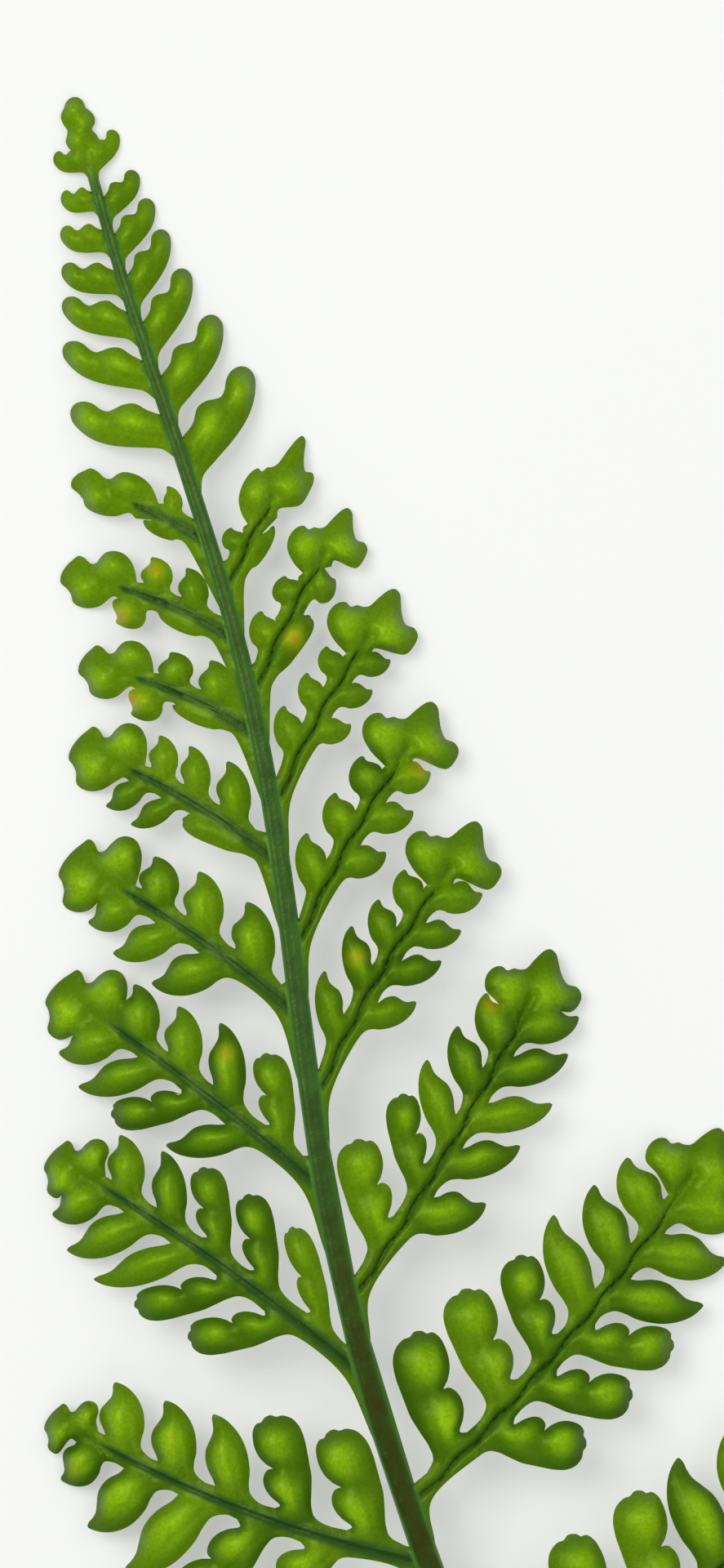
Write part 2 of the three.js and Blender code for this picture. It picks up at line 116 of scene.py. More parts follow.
# Small pinnae near the tip: at, length, lean, width, curve
SMALL_PINNAE = {
    -1: [
        (119.9, 9.3, 67, 3.8, 0.08), (124.9, 8.6, 61, 3.3, 0.08), (129.5, 7.1, 61, 3, 0.08),
        (133.5, 5.7, 65, 2.7, 0.07), (137.3, 4.6, 67, 2.5, 0.07), (140.9, 3.5, 68, 2.2, 0.05),
        (144.3, 3.3, 64, 2, 0.05),
    ],
    1: [
        (116.6, 10.5, 47, 4, 0.06), (122.5, 9.1, 46, 3.5, 0.06), (127.5, 8, 42, 3, 0.06),
        (132, 7, 42, 2.7, 0.06), (136.2, 5.8, 48, 2.5, 0.06), (139.8, 4.8, 52, 2.3, 0.06),
        (144, 4, 49, 2, 0.06),
    ],
}

# Outlines: along from the bearer's edge to the end, across in widths, positive toward the
# bearer's tip. A lobe's near side is one long curve, and its far side has a round shoulder, a
# notch and then the horn that the lobe ends in.
ROOT = (-0.48, 0.45)
HORN = [
    (0.08, -0.32), (0.2, -0.35), (0.34, -0.44), (0.5, -0.49), (0.65, -0.48), (0.79, -0.39),
    (0.9, -0.25), (0.97, -0.1), (1, 0.02), (0.95, 0.08), (0.87, 0.1), (0.78, 0.15),
    (0.67, 0.28), (0.54, 0.42), (0.4, 0.49), (0.25, 0.5), (0.1, 0.45),
]
ROUND = [
    (0.1, -0.48), (0.28, -0.5), (0.5, -0.52), (0.72, -0.49), (0.87, -0.38), (0.95, -0.2),
    (0.95, -0.08), (1, 0.02), (0.97, 0.17), (0.91, 0.24), (0.9, 0.34), (0.78, 0.45),
    (0.6, 0.5), (0.4, 0.51), (0.22, 0.47), (0.08, 0.38),
]
BROAD = [
    (0.08, -0.34), (0.25, -0.38), (0.45, -0.46), (0.62, -0.5), (0.76, -0.47), (0.88, -0.36),
    (0.97, -0.2), (1, 0), (0.97, 0.18), (0.88, 0.3), (0.78, 0.31), (0.68, 0.23),
    (0.61, 0.23), (0.54, 0.32), (0.44, 0.46), (0.3, 0.55), (0.15, 0.46),
]
# Domes of a small pinna, then of a lobe's lower parts, of its last part and of a whole lobe:
# along, across, and how far each reaches both ways
BROAD_DOMES, BROAD_DOME_WIDTH = ((0.42, 0.12, 0.13), (0.82, -0.1, 0.11)), 0.24
PART_DOME, LAST_DOME = (0.56, 0.18, 0.32, 0.26), (0.5, 0.1, 0.21, 0.27)
WHOLE_DOME, LAST_DOME_LONGER = (0.42, 0.1, 0.24, 0.27), 0.2
PLAIN_EDGE = [(0.1, -0.3), (0.32, -0.3), (0.62, -0.38), (0.92, -0.46)]
BUMPED_EDGE = [(0.1, -0.3), (0.28, -0.34), (0.5, -0.36), (0.74, -0.46), (0.94, -0.47)]
SHOULDER_EDGE = [
    (1, 0.26), (0.96, 0.37), (0.84, 0.46), (0.66, 0.52), (0.46, 0.52), (0.28, 0.45), (0.12, 0.32),
]
SQUARE_END = [
    (0.14, -0.15), (0.28, -0.24), (0.38, -0.38), (0.52, -0.47), (0.66, -0.485), (0.74, -0.45),
    (0.8, -0.34), (0.88, -0.27), (0.97, -0.22), (1, -0.1), (0.97, 0.07), (0.91, 0.2),
    (0.86, 0.28), (0.78, 0.28), (0.66, 0.22), (0.6, 0.26), (0.57, 0.36), (0.52, 0.46),
    (0.43, 0.52), (0.3, 0.53), (0.17, 0.46), (0.07, 0.32),
]
SPIKED_END = [
    (0.12, -0.2), (0.26, -0.35), (0.4, -0.46), (0.56, -0.49), (0.68, -0.46), (0.73, -0.38),
    (0.71, -0.27), (0.78, -0.17), (0.88, -0.09), (0.98, -0.01), (1, 0.07), (0.95, 0.12),
    (0.8, 0.17), (0.64, 0.21), (0.59, 0.27), (0.57, 0.33), (0.51, 0.38), (0.52, 0.46),
    (0.46, 0.53), (0.32, 0.56), (0.17, 0.5), (0.06, 0.34),
]
END_DOMES = {-1: ((0.69, -0.22), (0.41, 0.26)), 1: ((0.52, -0.16), (0.31, 0.29))}
TOP_DOMES = ((0.78, -0.08), (0.5, 0.16), (0.24, -0.2))
END_DOME_REACH = 0.16
TOP_END = [
    (0.03, -0.3), (0.14, -0.44), (0.27, -0.5), (0.38, -0.42), (0.46, -0.38), (0.6, -0.46),
    (0.74, -0.46), (0.86, -0.32), (0.95, -0.22), (1, -0.06), (0.98, 0.12), (0.88, 0.24),
    (0.78, 0.26), (0.7, 0.36), (0.6, 0.44), (0.48, 0.42), (0.38, 0.3), (0.28, 0.38),
    (0.14, 0.42), (0.03, 0.3),
]


# Small helpers

def lerp(low, high, share):
    return low + (high - low) * share


def smoothstep(low, high, value):
    t = np.clip((value - low) / (high - low), 0, 1)
    return t * t * (3 - 2 * t)


draws = []


def drawn(low, high):
    """The next of the solid's own seeded draws."""
    draws.append(len(draws) + 1)
    scattered = math.sin(SEED + draws[-1] * 12.9898) * 43758.5453
    return lerp(low, high, scattered - math.floor(scattered))


def rachis_x(y):
    calmer = 1 - TIP_STRAIGHTENING * (y / FROND_LENGTH) ** STRAIGHTENING_POWER
    return SWAY * calmer * np.cos(2 * np.pi * (y - SWAY_CREST) / SWAY_LENGTH)


def rachis_z(y):
    share = np.clip(y / FROND_LENGTH, 0, 1)
    return lerp(RACHIS_DEPTH / 2, TIP_HEIGHT, share) + ARCH_HEIGHT * np.sin(
        np.pi * share ** ARCH_SKEW)


def rachis_half(y):
    share = np.clip((y - STIPE_LENGTH) / BLADE_LENGTH, 0, 1)
    half = lerp(RACHIS_WIDTH, RACHIS_TIP_WIDTH, share ** RACHIS_TAPER_POWER) / 2
    return half * lerp(1, JOINT_SWELLING, np.clip(1 - y / JOINT_LENGTH, 0, 1))


def rachis_edge(side, y):
    return np.array([rachis_x(y) + side * rachis_half(y), y])


def rachis_depth(y):
    share = np.clip((y - STIPE_LENGTH) / BLADE_LENGTH, 0, 1)
    return lerp(RACHIS_DEPTH, RACHIS_TIP_DEPTH, share)


def blade_z(x, y):
    aside = x - rachis_x(y)
    per_length = np.where(aside < 0, SPREAD_PER_LENGTH[-1], SPREAD_PER_LENGTH[1])
    spread = SPREAD_AT_TIP + per_length * np.maximum(FROND_LENGTH - y, 0)
    return rachis_z(y) * (1 - (np.abs(aside) / spread) ** SIDE_FALL_POWER)


# Layout: where each lobe stands

class Costa:
    """The arc that a pinna's midrib follows."""

    def __init__(self, root, length, lean, bend, side):
        self.root, self.length, self.side = root, length, side
        self.turn = math.radians(bend)
        self.first = math.radians(lean - bend / 2)

    def lean(self, s):
        return self.first + self.turn * s / self.length

    def point(self, s):
        scale = self.length / self.turn
        angle = self.lean(s)
        return np.array([
            self.root[0] + self.side * scale * (math.cos(self.first) - math.cos(angle)),
            self.root[1] + scale * (math.sin(angle) - math.sin(self.first)),
        ])

    def outward(self, s):
        return np.array([self.side * math.sin(self.lean(s)), math.cos(self.lean(s))])

    def upward(self, s):
        return np.array([-self.side * math.cos(self.lean(s)), math.sin(self.lean(s))])

    def beside(self, s, offset):
        return self.point(s) + self.upward(s) * offset


class Stand:
    """A lobe's own axes, sheared at its root to follow the edge that carries it."""

    def __init__(self, origin, along, up, half, lean, length, width, curve, parts):
        self.origin, self.half, self.lean = origin, half, lean
        self.length, self.width, self.curve, self.parts = length, width, curve, parts
        self.blotches = []
        self.shape = HORN
        self.outward = along * math.cos(lean) + up * math.sin(lean)
        self.crosswise = along * math.sin(lean) - up * math.cos(lean)

    def edge_shift(self, across):
        return self.half / math.tan(self.lean) + across * self.width / math.sin(self.lean)

    def at(self, share, across):
        side = across * self.width
        start = self.half / math.sin(self.lean) + side / math.tan(self.lean)
        out = lerp(min(start, LATEST_START * self.length), self.length, share)
        sideways = side + self.curve * max(out, 0) ** 2 / self.length
        return self.origin + self.outward * out + self.crosswise * sideways

    def local(self, points):
        """Millimetres out along the lobe and across it, for many points."""
        away = points - self.origin
        out = away @ self.outward
        side = away @ self.crosswise - self.curve * np.maximum(out, 0) ** 2 / self.length
        return out, side


def costa_half(share):
    return lerp(COSTA_WIDTH, COSTA_TIP_WIDTH, share) / 2


def web_half(share):
    return lerp(WEB_WIDTH, WEB_TIP_WIDTH, share) / 2


def parts_for(length, share):
    if length < TWO_PARTS_FROM or share > PARTED_BEFORE:
        return 1
    return 3 if length > THREE_PARTS_FROM else 2


def axis_points(stand):
    return [stand.origin + stand.outward * stand.length * share for share in WIDE_SHARES]


def room_between(one, other):
    """The least distance from one lobe's axis to the other's, near their widest places."""
    def clear(point, line):
        away = point - line.origin
        return abs(away[0] * line.outward[1] - away[1] * line.outward[0])
    return min(min(clear(p, other) for p in axis_points(one)),
               min(clear(p, one) for p in axis_points(other)))


def room_by_rachis(stand):
    return 2 * min(abs(x - rachis_x(y)) - rachis_half(y) - LOBE_SLIT
                   for x, y in axis_points(stand)[1:])


def plan_lobes(costa, lean, lobes, side):
    """The lobes of one pinna, in turn above and below its costa, with the solid's own draws."""
    growth = LOBES[side]
    first_y = costa.point(0)[1]
    leaning = side * math.atan((rachis_x(first_y + NET_STEP) - rachis_x(first_y)) / NET_STEP)
    from_end = growth["last"] - growth["long_less"] * max(costa.length - LONG_PINNA, 0)
    from_end = max(from_end, LEAST_FROM_END)
    stands = []
    for index in range(lobes):
        crowded = (index / (lobes - 1)) ** LOBE_CROWDING if index else 0
        first = min(growth["first"], FIRST_SHARE * costa.length)
        s = lerp(first, costa.length - from_end, crowded)
        t = s / costa.length
        flank = 1 if index % 2 == 0 else -1
        start, slope, turn = growth["upper" if flank > 0 else "lower"]
        less = growth["upper_less" if flank > 0 else "lower_less"]
        length = (start + slope * t + turn * t * t) * costa.length - less
        if flank > 0:
            angle = costa.lean(s) + math.radians(UPPER_TILT * t) - leaning * (1 - t)
        else:
            gain = LOWER_LEAN_SHARE * (lean - MIDDLE_LEAN)
            angle = math.radians(growth["lean"] + LOWER_LEAN_GAIN * t + gain)
        if index == 1 and costa.length < PRESSED_UNDER:
            s, t = PRESSED_AT, 0
            angle = math.radians(PRESSED_LEAN)
            length = PRESSED_SHARE * costa.length
        angle += math.radians(drawn(-LEAN_DRAW, LEAN_DRAW))
        length *= 1 + drawn(-LENGTH_DRAW, LENGTH_DRAW)
        curve = drawn(0, CURVE_DRAW)
        stand = Stand(costa.point(s), costa.outward(s), costa.upward(s) * flank,
                      web_half(t), angle, length, 0, curve, parts_for(length, t))
        stand.s, stand.flank = s, flank
        stands.append(stand)
    share_room(stands, costa.length)
    return stands


def share_room(stands, length):
    """Gives each lobe the width that its neighbours and the rachis leave free."""
    widths = []
    pressed = 1 if length < PRESSED_UNDER else None
    for index, stand in enumerate(stands):
        near = [other for other in (index - 2, index + 2) if 0 <= other < len(stands)]
        parted = any(stands[one].parts > 1 for one in (index, *near))
        rooms = [(PARTED_FILL if parted else LOBE_FILL) * room_between(stand, stands[other])
                 for other in near if other != pressed]
        if index == 0:
            rooms.append(room_by_rachis(stand))
        if index == pressed:
            rooms = [PRESSED_WIDTH]
        widths.append(min(*rooms, LOBE_WIDTH + LOBE_WIDTH_SHARE * stand.length, LOBE_WIDEST))
    for stand, width in zip(stands, widths):
        stand.width = width


# Outline: the frond's rim as knots, cut into runs at its sharp inner corners

SHARP = "sharp"
SHORTEST_GAP, SAME_PLACE, PARALLEL, SAME_POINT = 1e-4, 0.02, 1e-7, 1e-5


def lobe_knots(stand):
    """Knots round one lobe from its near root corner to the far one, which aren't in it."""
    low, high = [], []
    start = 0
    for part in range(stand.parts - 1):
        to = lerp(start, 1, PART_SHARE / (stand.parts - part))
        edge = BUMPED_EDGE if stand.parts == 3 and part == 0 else PLAIN_EDGE
        low += [stand.at(lerp(start, to, a), across) for a, across in edge]
        shoulder = [stand.at(lerp(start, to, a), across) for a, across in SHOULDER_EDGE]
        high = shoulder + [SHARP] + high if high else shoulder
        start = to
    shape = ROUND if stand.parts > 1 else stand.shape
    top = [stand.at(lerp(start, 1, a), across) for a, across in shape]
    return low + top + ([SHARP] if high else []) + high


def domes_of(stand):
    """Domes of one lobe: centre out and across in mm, and how far each reaches both ways. The
    numbers are shares of a part's length and of the lobe's width."""
    if stand.shape is BROAD:
        return [(along * stand.length, across * stand.width, wide * stand.length,
                 BROAD_DOME_WIDTH * stand.width) for along, across, wide in BROAD_DOMES]
    domes = []
    start = 0
    reach = stand.length - stand.half
    along, aside, long, wide = PART_DOME
    for part in range(stand.parts - 1):
        to = lerp(start, 1, PART_SHARE / (stand.parts - part))
        middle = stand.half + reach * lerp(start, to, along)
        domes.append((middle, aside * stand.width, long * reach * (to - start),
                      wide * stand.width))
        start = to
    along, aside, long, wide = WHOLE_DOME if stand.parts == 1 else LAST_DOME
    middle = stand.half + reach * lerp(start, 1, along)
    domes.append((middle, aside * stand.width, long * reach * (1 - start) + LAST_DOME_LONGER,
                  wide * stand.width))
    return domes


def kept_clear(stand, knot):
    """The knot, moved past a lobe's far side where it would touch the lobe."""
    out, side = (float(one[0]) for one in stand.local(knot[None]))
    horn = float(smoothstep(*FAR_FADE, out / stand.length))
    least = lerp(FAR_SIDE, FAR_HORN, horn) * stand.width + END_SLIT
    if 0 < out < stand.length + END_SLIT and side < least:
        return knot + stand.crosswise * (least - side)
    return knot


def end_of_pinna(side, costa, stands, ends):
    """A pinna's end beyond its last lobes, the knots over it and the two feet that it stands on."""
    end, far = sorted(ends.values())
    side_of_far = 1 if ends[1] == far else -1
    size = max(costa.length - end, SHORTEST_END)
    breadth = min(size * END_WIDTH[side], END_BREADTH_SHARE * costa.length)
    cap = Stand(costa.point(end), costa.upward(end), costa.outward(end), 0, math.pi / 2,
                size, breadth, 0, 0)
    cap.domes = END_DOMES[side]
    shape = SQUARE_END if side < 0 else SPIKED_END
    if side_of_far > 0:
        shape = [(along, -across) for along, across in reversed(shape)]
        cap.domes = [(along, -across) for along, across in cap.domes]
    root = (far - end) / size + END_ROOT
    over = [cap.at(*place) for place in shape if place[1] * side_of_far < 0 or place[0] > root]
    for stand in stands[-2:]:
        over = [kept_clear(stand, knot) for knot in over]
    feet = [costa.beside(ends[flank], flank * web_half(1)) for flank in (-1, 1)]
    return cap, over, feet


def grow_pinna(side, at, length, lean, bend, lobes):
    """Knots of one pinna from low on the rachis to its upper axil, its lobes and its costa."""
    y = STIPE_LENGTH + at
    costa = Costa((rachis_x(y), y), length, lean, bend, side)
    stands = plan_lobes(costa, lean, lobes, side)
    first = costa.first
    leave = y + rachis_half(y) / math.tan(first)
    reach = WEB_WIDTH / 2 / math.sin(first)
    ends = {}
    rows = {}
    for flank in (1, -1):
        row = []
        last = UPPER_AXIL
        if flank < 0:
            if length < PRESSED_UNDER:
                last = PRESSED_REACH
            else:
                row.append(costa.beside(WING_CREST, -WING_WIDTH[side]))
                last = WING_REACH
        for stand in (one for one in stands if one.flank == flank):
            corners = []
            for across in ROOT:
                corner = max(stand.s + stand.edge_shift(across), last)
                last = corner + LOBE_SLIT / 2
                corners.append(costa.beside(corner, flank * stand.half))
            row += [corners[0], *lobe_knots(stand), corners[1], SHARP, corners[1]]
            ends[flank] = stand.s + stand.edge_shift(0.5) + LOBE_SLIT
        rows[flank] = row
    cap, over, feet = end_of_pinna(side, costa, stands, ends)
    knots = [rachis_edge(side, leave - reach - WING_LENGTH[side]), *rows[-1], feet[0], *over,
             feet[1], SHARP, feet[1], *reversed(rows[1][:-2]), SHARP,
             rachis_edge(side, leave + reach), SHARP]
    reach = min(ends.values()) + COSTA_INTO_END * cap.length
    line = np.array([costa.point(s) for s in np.arange(0, reach, LINE_STEP)])
    return knots, stands, cap, line


def grow_layout():
    """The whole rim, every lobe and end, and the lines of the costae."""
    draws.clear()
    sides = {}
    stands, caps, lines = [], [], []
    for side in (-1, 1):
        knots = [rachis_edge(side, height) for height in STALK_HEIGHTS]
        for row in PINNAE[side]:
            more, found, cap, line = grow_pinna(side, *row)
            knots += more
            stands += found
            caps.append(cap)
            lines.append(line)
        for at, length, lean, width, curve in SMALL_PINNAE[side]:
            y = STIPE_LENGTH + at
            stand = Stand(np.array([rachis_x(y), y]), np.array([0.0, 1.0]),
                          np.array([float(side), 0.0]), rachis_half(y), math.radians(lean),
                          length, width, curve, 1)
            stand.shape = BROAD
            foot = [rachis_edge(side, y + stand.edge_shift(across)) for across in ROOT]
            knots += [foot[0], *lobe_knots(stand), foot[1], SHARP]
            stands.append(stand)
        sides[side] = knots
    end = FROND_LENGTH - TIP_LENGTH
    cap = Stand(np.array([rachis_x(end), end]), np.array([1.0, 0.0]), np.array([0.0, 1.0]), 0,
                math.pi / 2, TIP_LENGTH, TIP_WIDTH, 0, 0)
    caps.append(cap)
    cap.domes = TOP_DOMES
    tip = [cap.at(*place) for place in TOP_END]
    tip = [cap.at(0, -rachis_half(end) / TIP_WIDTH), *tip, cap.at(0, rachis_half(end) / TIP_WIDTH)]
    foot = [np.array([rachis_x(0) + across * rachis_half(FOOT_WIDE_AT), height])
            for across, height in FOOT_CURVE]
    knots = foot + sides[1] + tip[::-1] + sides[-1][::-1]
    return knots, stands, caps, lines


def curve_through(knots, step):
    """Points along a centripetal Catmull-Rom curve through the knots, without the last one."""
    if len(knots) < 3:
        count = max(1, round(float(np.linalg.norm(knots[-1] - knots[0])) / step))
        return [lerp(knots[0], knots[-1], k / count) for k in range(count)]
    ends = [2 * knots[0] - knots[1], *knots, 2 * knots[-1] - knots[-2]]
    found = []
    for a, b, c, d in zip(ends, ends[1:], ends[2:], ends[3:]):
        gaps = [max(math.sqrt(float(np.linalg.norm(q - p))), SHORTEST_GAP)
                for p, q in ((a, b), (b, c), (c, d))]
        enter = (b - a) / gaps[0] - (c - a) / (gaps[0] + gaps[1]) + (c - b) / gaps[1]
        leave = (c - b) / gaps[1] - (d - b) / (gaps[1] + gaps[2]) + (d - c) / gaps[2]
        enter, leave = enter * gaps[1], leave * gaps[1]
        count = max(1, math.ceil(gaps[1] ** 2 / step))
        for k in range(count):
            t = k / count
            found.append((2 * t ** 3 - 3 * t * t + 1) * b + (t ** 3 - 2 * t * t + t) * enter
                         + (3 * t * t - 2 * t ** 3) * c + (t ** 3 - t * t) * leave)
    return found


def rim_points(knots, step):
    """The closed rim as points. A sharp mark stands beside the corner that it makes sharp."""
    first = next(k for k, knot in enumerate(knots) if knot is SHARP)
    turned = knots[first:] + knots[:first]
    runs = []
    run = []
    for knot in turned:
        if knot is SHARP:
            if run:
                runs.append(run)
            run = []
        elif not run or np.linalg.norm(knot - run[-1]) > SAME_PLACE:
            run.append(knot)
    runs.append(run)
    runs = [run for run in runs if run]
    points = []
    for run, following in zip(runs, runs[1:] + runs[:1]):
        if len(run) > 1:
            points += curve_through(run, step)
        if np.linalg.norm(run[-1] - following[0]) > SAME_PLACE:
            points += curve_through([run[-1], following[0]], step)
    return np.array(points)


def cross(a, b):
    return a[:, 0] * b[:, 1] - a[:, 1] * b[:, 0]


def without_loops(rim, reach):
    """The rim without the small loops in which a lobe's side runs into its neighbour's."""
    count = len(rim)
    ahead = np.roll(rim, -1, axis=0) - rim
    kept = np.ones(count, bool)
    found = rim.copy()
    for gap in range(reach, 1, -1):
        between = np.roll(rim, -gap, axis=0) - rim
        other = np.roll(ahead, -gap, axis=0)
        turn = cross(ahead, other)
        aligned = np.abs(turn) < PARALLEL
        turn[aligned] = 1
        here, there = cross(between, other) / turn, cross(between, ahead) / turn
        hits = (here >= 0) & (here <= 1) & (there >= 0) & (there <= 1) & ~aligned
        for start in np.flatnonzero(hits):
            loop = (start + 1 + np.arange(gap)) % count
            if kept[start] and kept[loop].all():
                kept[loop[1:]] = False
                found[loop[0]] = rim[start] + here[start] * ahead[start]
    return found[kept]


# Mesh: the rim filled with triangles, then an upper and a lower face

RIM_STEP, LOOP_REACH = 0.2, 160
GRID_STEP, CLEAR_OF_ROWS = 0.36, 0.62
CLEAR_OF_RIM, CLEAR_OF_RACHIS = 0.17, 0.08
COSTA_OFFSETS = (0, 0.13, 0.27, 0.42, 0.6)
RACHIS_SHARES = (0, 0.22, 0.42, 0.62, 0.8, 0.93)


def tree_of(points):
    tree = kdtree.KDTree(len(points))
    for index, (x, y) in enumerate(points):
        tree.insert((x, y, 0), index)
    tree.balance()
    return tree


def nearest(tree, points):
    """The nearest stored point's number and its distance, for many points."""
    found = [tree.find((x, y, 0)) for x, y in points]
    return np.array([one[1] for one in found]), np.array([one[2] for one in found])


def grid_inside(rim, step):
    """A hexagonal grid of points inside the rim."""
    following = np.roll(rim, -1, axis=0)
    rise = step * math.sqrt(3) / 2
    found = []
    for row, y in enumerate(np.arange(rim[:, 1].min() + rise / 3, rim[:, 1].max(), rise)):
        crosses = (rim[:, 1] > y) != (following[:, 1] > y)
        a, b = rim[crosses], following[crosses]
        xs = np.sort(a[:, 0] + (y - a[:, 1]) / (b[:, 1] - a[:, 1]) * (b[:, 0] - a[:, 0]))
        start = rim[:, 0].min() + (row % 2) * step / 2
        places = np.arange(start, rim[:, 0].max(), step)
        places = places[np.searchsorted(xs, places) % 2 == 1]
        found.append(np.stack([places, np.full(len(places), y)], axis=1))
    return np.concatenate(found)


def rows_beside(line, offsets):
    """Points along a costa's line and beside it."""
    along = np.gradient(line, axis=0)
    along /= np.linalg.norm(along, axis=1)[:, None]
    across = np.stack([-along[:, 1], along[:, 0]], axis=1)
    rows = [line]
    for offset in offsets[1:]:
        rows += [line + across * offset, line - across * offset]
    return np.concatenate(rows)


def inner_points(rim, lines):
    """Points to fill the rim with: rows along the rachis and the costae, and a grid elsewhere."""
    heights = np.arange(0.35, FROND_LENGTH - TIP_LENGTH, GRID_STEP)
    rachis = [np.stack([rachis_x(heights) + side * share * rachis_half(heights), heights],
                       axis=1) for share in RACHIS_SHARES for side in (-1, 1) if share or side > 0]
    rachis = np.concatenate(rachis)
    aside = np.abs(rachis[:, 0] - rachis_x(rachis[:, 1]))
    costae = np.concatenate([rows_beside(line, COSTA_OFFSETS) for line in lines])
    off = np.abs(costae[:, 0] - rachis_x(costae[:, 1])) - rachis_half(costae[:, 1])
    rows = np.concatenate([rachis, costae[off > CLEAR_OF_RACHIS]])
    grid = grid_inside(rim, GRID_STEP)
    grid = grid[nearest(tree_of(rows), grid)[1] > GRID_STEP * CLEAR_OF_ROWS]
    inner = np.concatenate([rows, grid])
    return inner[nearest(tree_of(rim), inner)[1] > CLEAR_OF_RIM]


def fill(rim, inner):
    """Triangles inside the rim through the inner points. The rim's points keep their numbers,
    and a triangle between three of them is split round its middle, so that it has a thickness."""
    count = len(rim)
    places = [Vector(point) for point in np.concatenate([rim, inner])]
    edges = [(k, (k + 1) % count) for k in range(count)]
    found = geometry.delaunay_2d_cdt(places, edges, [], 1, SAME_POINT)
    points, faces = np.array([tuple(v) for v in found[0]]), np.array(found[2])
    bare = (faces < count).all(axis=1)
    thin = faces[bare]
    middles = len(points) + np.arange(len(thin))
    split = [np.column_stack([thin[:, k], thin[:, (k + 1) % 3], middles]) for k in range(3)]
    points = np.concatenate([points, points[thin].mean(axis=1)])
    return points, np.concatenate([faces[~bare], *split])


# Relief: what stands where on the blade. Lengths are in millimetres, and a fade is given as the
# value where it starts and the value where it is full.

CENTRE = (3.0182, 99.75)
LAMINA_HALF = 0.2
RIM_LEVEL, RIM_ROUND = 0.8, 0.32
PILLOW_REACH, PILLOW_ROUNDS, DOME_ROUNDS, ROUND_SHARE = 1.1, 4, 2, 0.6
FULL_DOME, FULL_DOME_WIDTH, DOME_FADE = 0.95, 4, (0, 0.7)
CREST, CREST_CALM = (5.8, 7), 0.7
TIP_DROOP, TIP_FADE, END_TIP_FADE = 0.22, (0.78, 1.02), (0.8, 1.02)
FLOOR_EASE, STEM_EASE, THINNEST, LOWEST_RIM = 0.4, 0.3, 0.06, 0.02
LOBE_MARGINS, END_MARGINS, END_OUTSIDE = (0.6, 0.5, 0.64), (0.5, 0.4, 0.6), 0.5
VEIN_WIDTH, VEIN_ASIDE, VEIN_FADE, VEIN_RIM_FADE = 0.32, 0.06, (0.75, 0.4), (0.2, 0.8)
# Painted shade along the rim: how far inward it reaches and how fast it fades
RIM_SHADE_WIDTH, RIM_SHADE_POWER = 0.12, 1.5

# Costae: on the right a crooked groove between two soft banks, on the left a low rib with a
# line in it. Widths are shares of the costa's half width.
CROOK, CROOK_LENGTH, LINE_STEP = 0.13, 4.7, 0.25
COSTA_END_FADE, COSTA_BEYOND_FADE, COSTA_HEIGHT_POWER = (1, 0.86), (0.9, 0.3), 0.6
BANK_AT, BANK_WIDTH, DIP_WIDTH = 1.1, 0.6, 0.42
RIB_WIDTH, RIB_LINE_WIDTH, RIB_LINE_DEPTH, RIB_BELOW_WIDTH = 0.85, 0.2, 0.1, 0.8
COSTA_COLOUR_WIDTH, RIGHT_COSTA_COLOUR = 1.3, 0.3
# Widths of the painted shade in a right costa's groove and along a left rib's line
GROOVE_SHADE_WIDTH, LINE_SHADE_WIDTH = 0.32, 0.5
COSTA_CALM, CALM_WIDTH, RIGHT_CALM_WIDTH, CALM_FADE = 0.8, 1, 0.5, (1.2, 0.2)
COSTA_RIM_FADE, COSTA_BELOW_RIM_FADE = (0, 0.25), (0, 0.35)

# Stalk and rachis: shares of their half width, and places from the blade's foot or the tip
STEM_FADE, BAND_FADE, STEM_SIDE_FADE, STEM_SIDE = (1.25, 0.95), (1.05, 0.45), (1.15, 0.9), 1.02
STEM_END_FADE, OLD_FADE, YOUNG_FADE, HIGH_FADE = (1, -5), (78, 24), (-100, -10), (-12, 8)
SUNK_SHARE, STEM_GROOVE_WIDTH, STALK_GROOVE, FOOT_LENGTH = 0.06, 0.45, 0.4, 1.0

# Fading spots: side, pinna, lobe in growing order, along and across the lobe, how strong
BLOTCHES = [
    (-1, 7, 2, 0.6, 0.0, 0.8), (-1, 7, 3, 0.7, 0.1, 1.0), (-1, 6, 3, 0.6, 0.3, 1.0),
    (1, 4, 5, 0.7, 0.2, 0.9), (1, 6, 1, 0.5, 0.1, 0.9), (1, 3, 2, 0.45, 0.0, 0.7),
    (1, 2, 8, 0.75, 0.1, 0.8), (-1, 3, 2, 0.6, 0.0, 0.7), (-1, 1, 6, 0.5, 0.0, 0.4),
    (-1, 1, 9, 0.6, 0.0, 0.5),
]
BLOTCH_REACH, BLOTCH_MIDDLE = 1.15, 0.36


def bell(value):
    return np.exp(-value ** 2)


def soft_floor(height, ease):
    """The height where it is above zero, and zero below, with an eased turn between."""
    eased = np.clip(height + ease, 0, 2 * ease) ** 2 / (4 * ease)
    return np.where(height > ease, height, eased)


def soft_most(one, other, ease):
    """The higher of two heights, with a fillet where they meet."""
    near = np.clip(1 - np.abs(one - other) / ease, 0, 1)
    return np.maximum(one, other) + near * near * ease / 4


def smoothed(values, pairs, fixed, rounds):
    """Values averaged with their neighbours' a few times, except where they are fixed."""
    counts = np.bincount(pairs.ravel(), minlength=len(values)).astype(float)
    for _ in range(rounds):
        total = np.bincount(pairs[:, 0], values[pairs[:, 1]], len(values))
        total += np.bincount(pairs[:, 1], values[pairs[:, 0]], len(values))
        around = lerp(values, total / np.maximum(counts, 1), ROUND_SHARE)
        values = np.where(fixed, values, around)
    return values


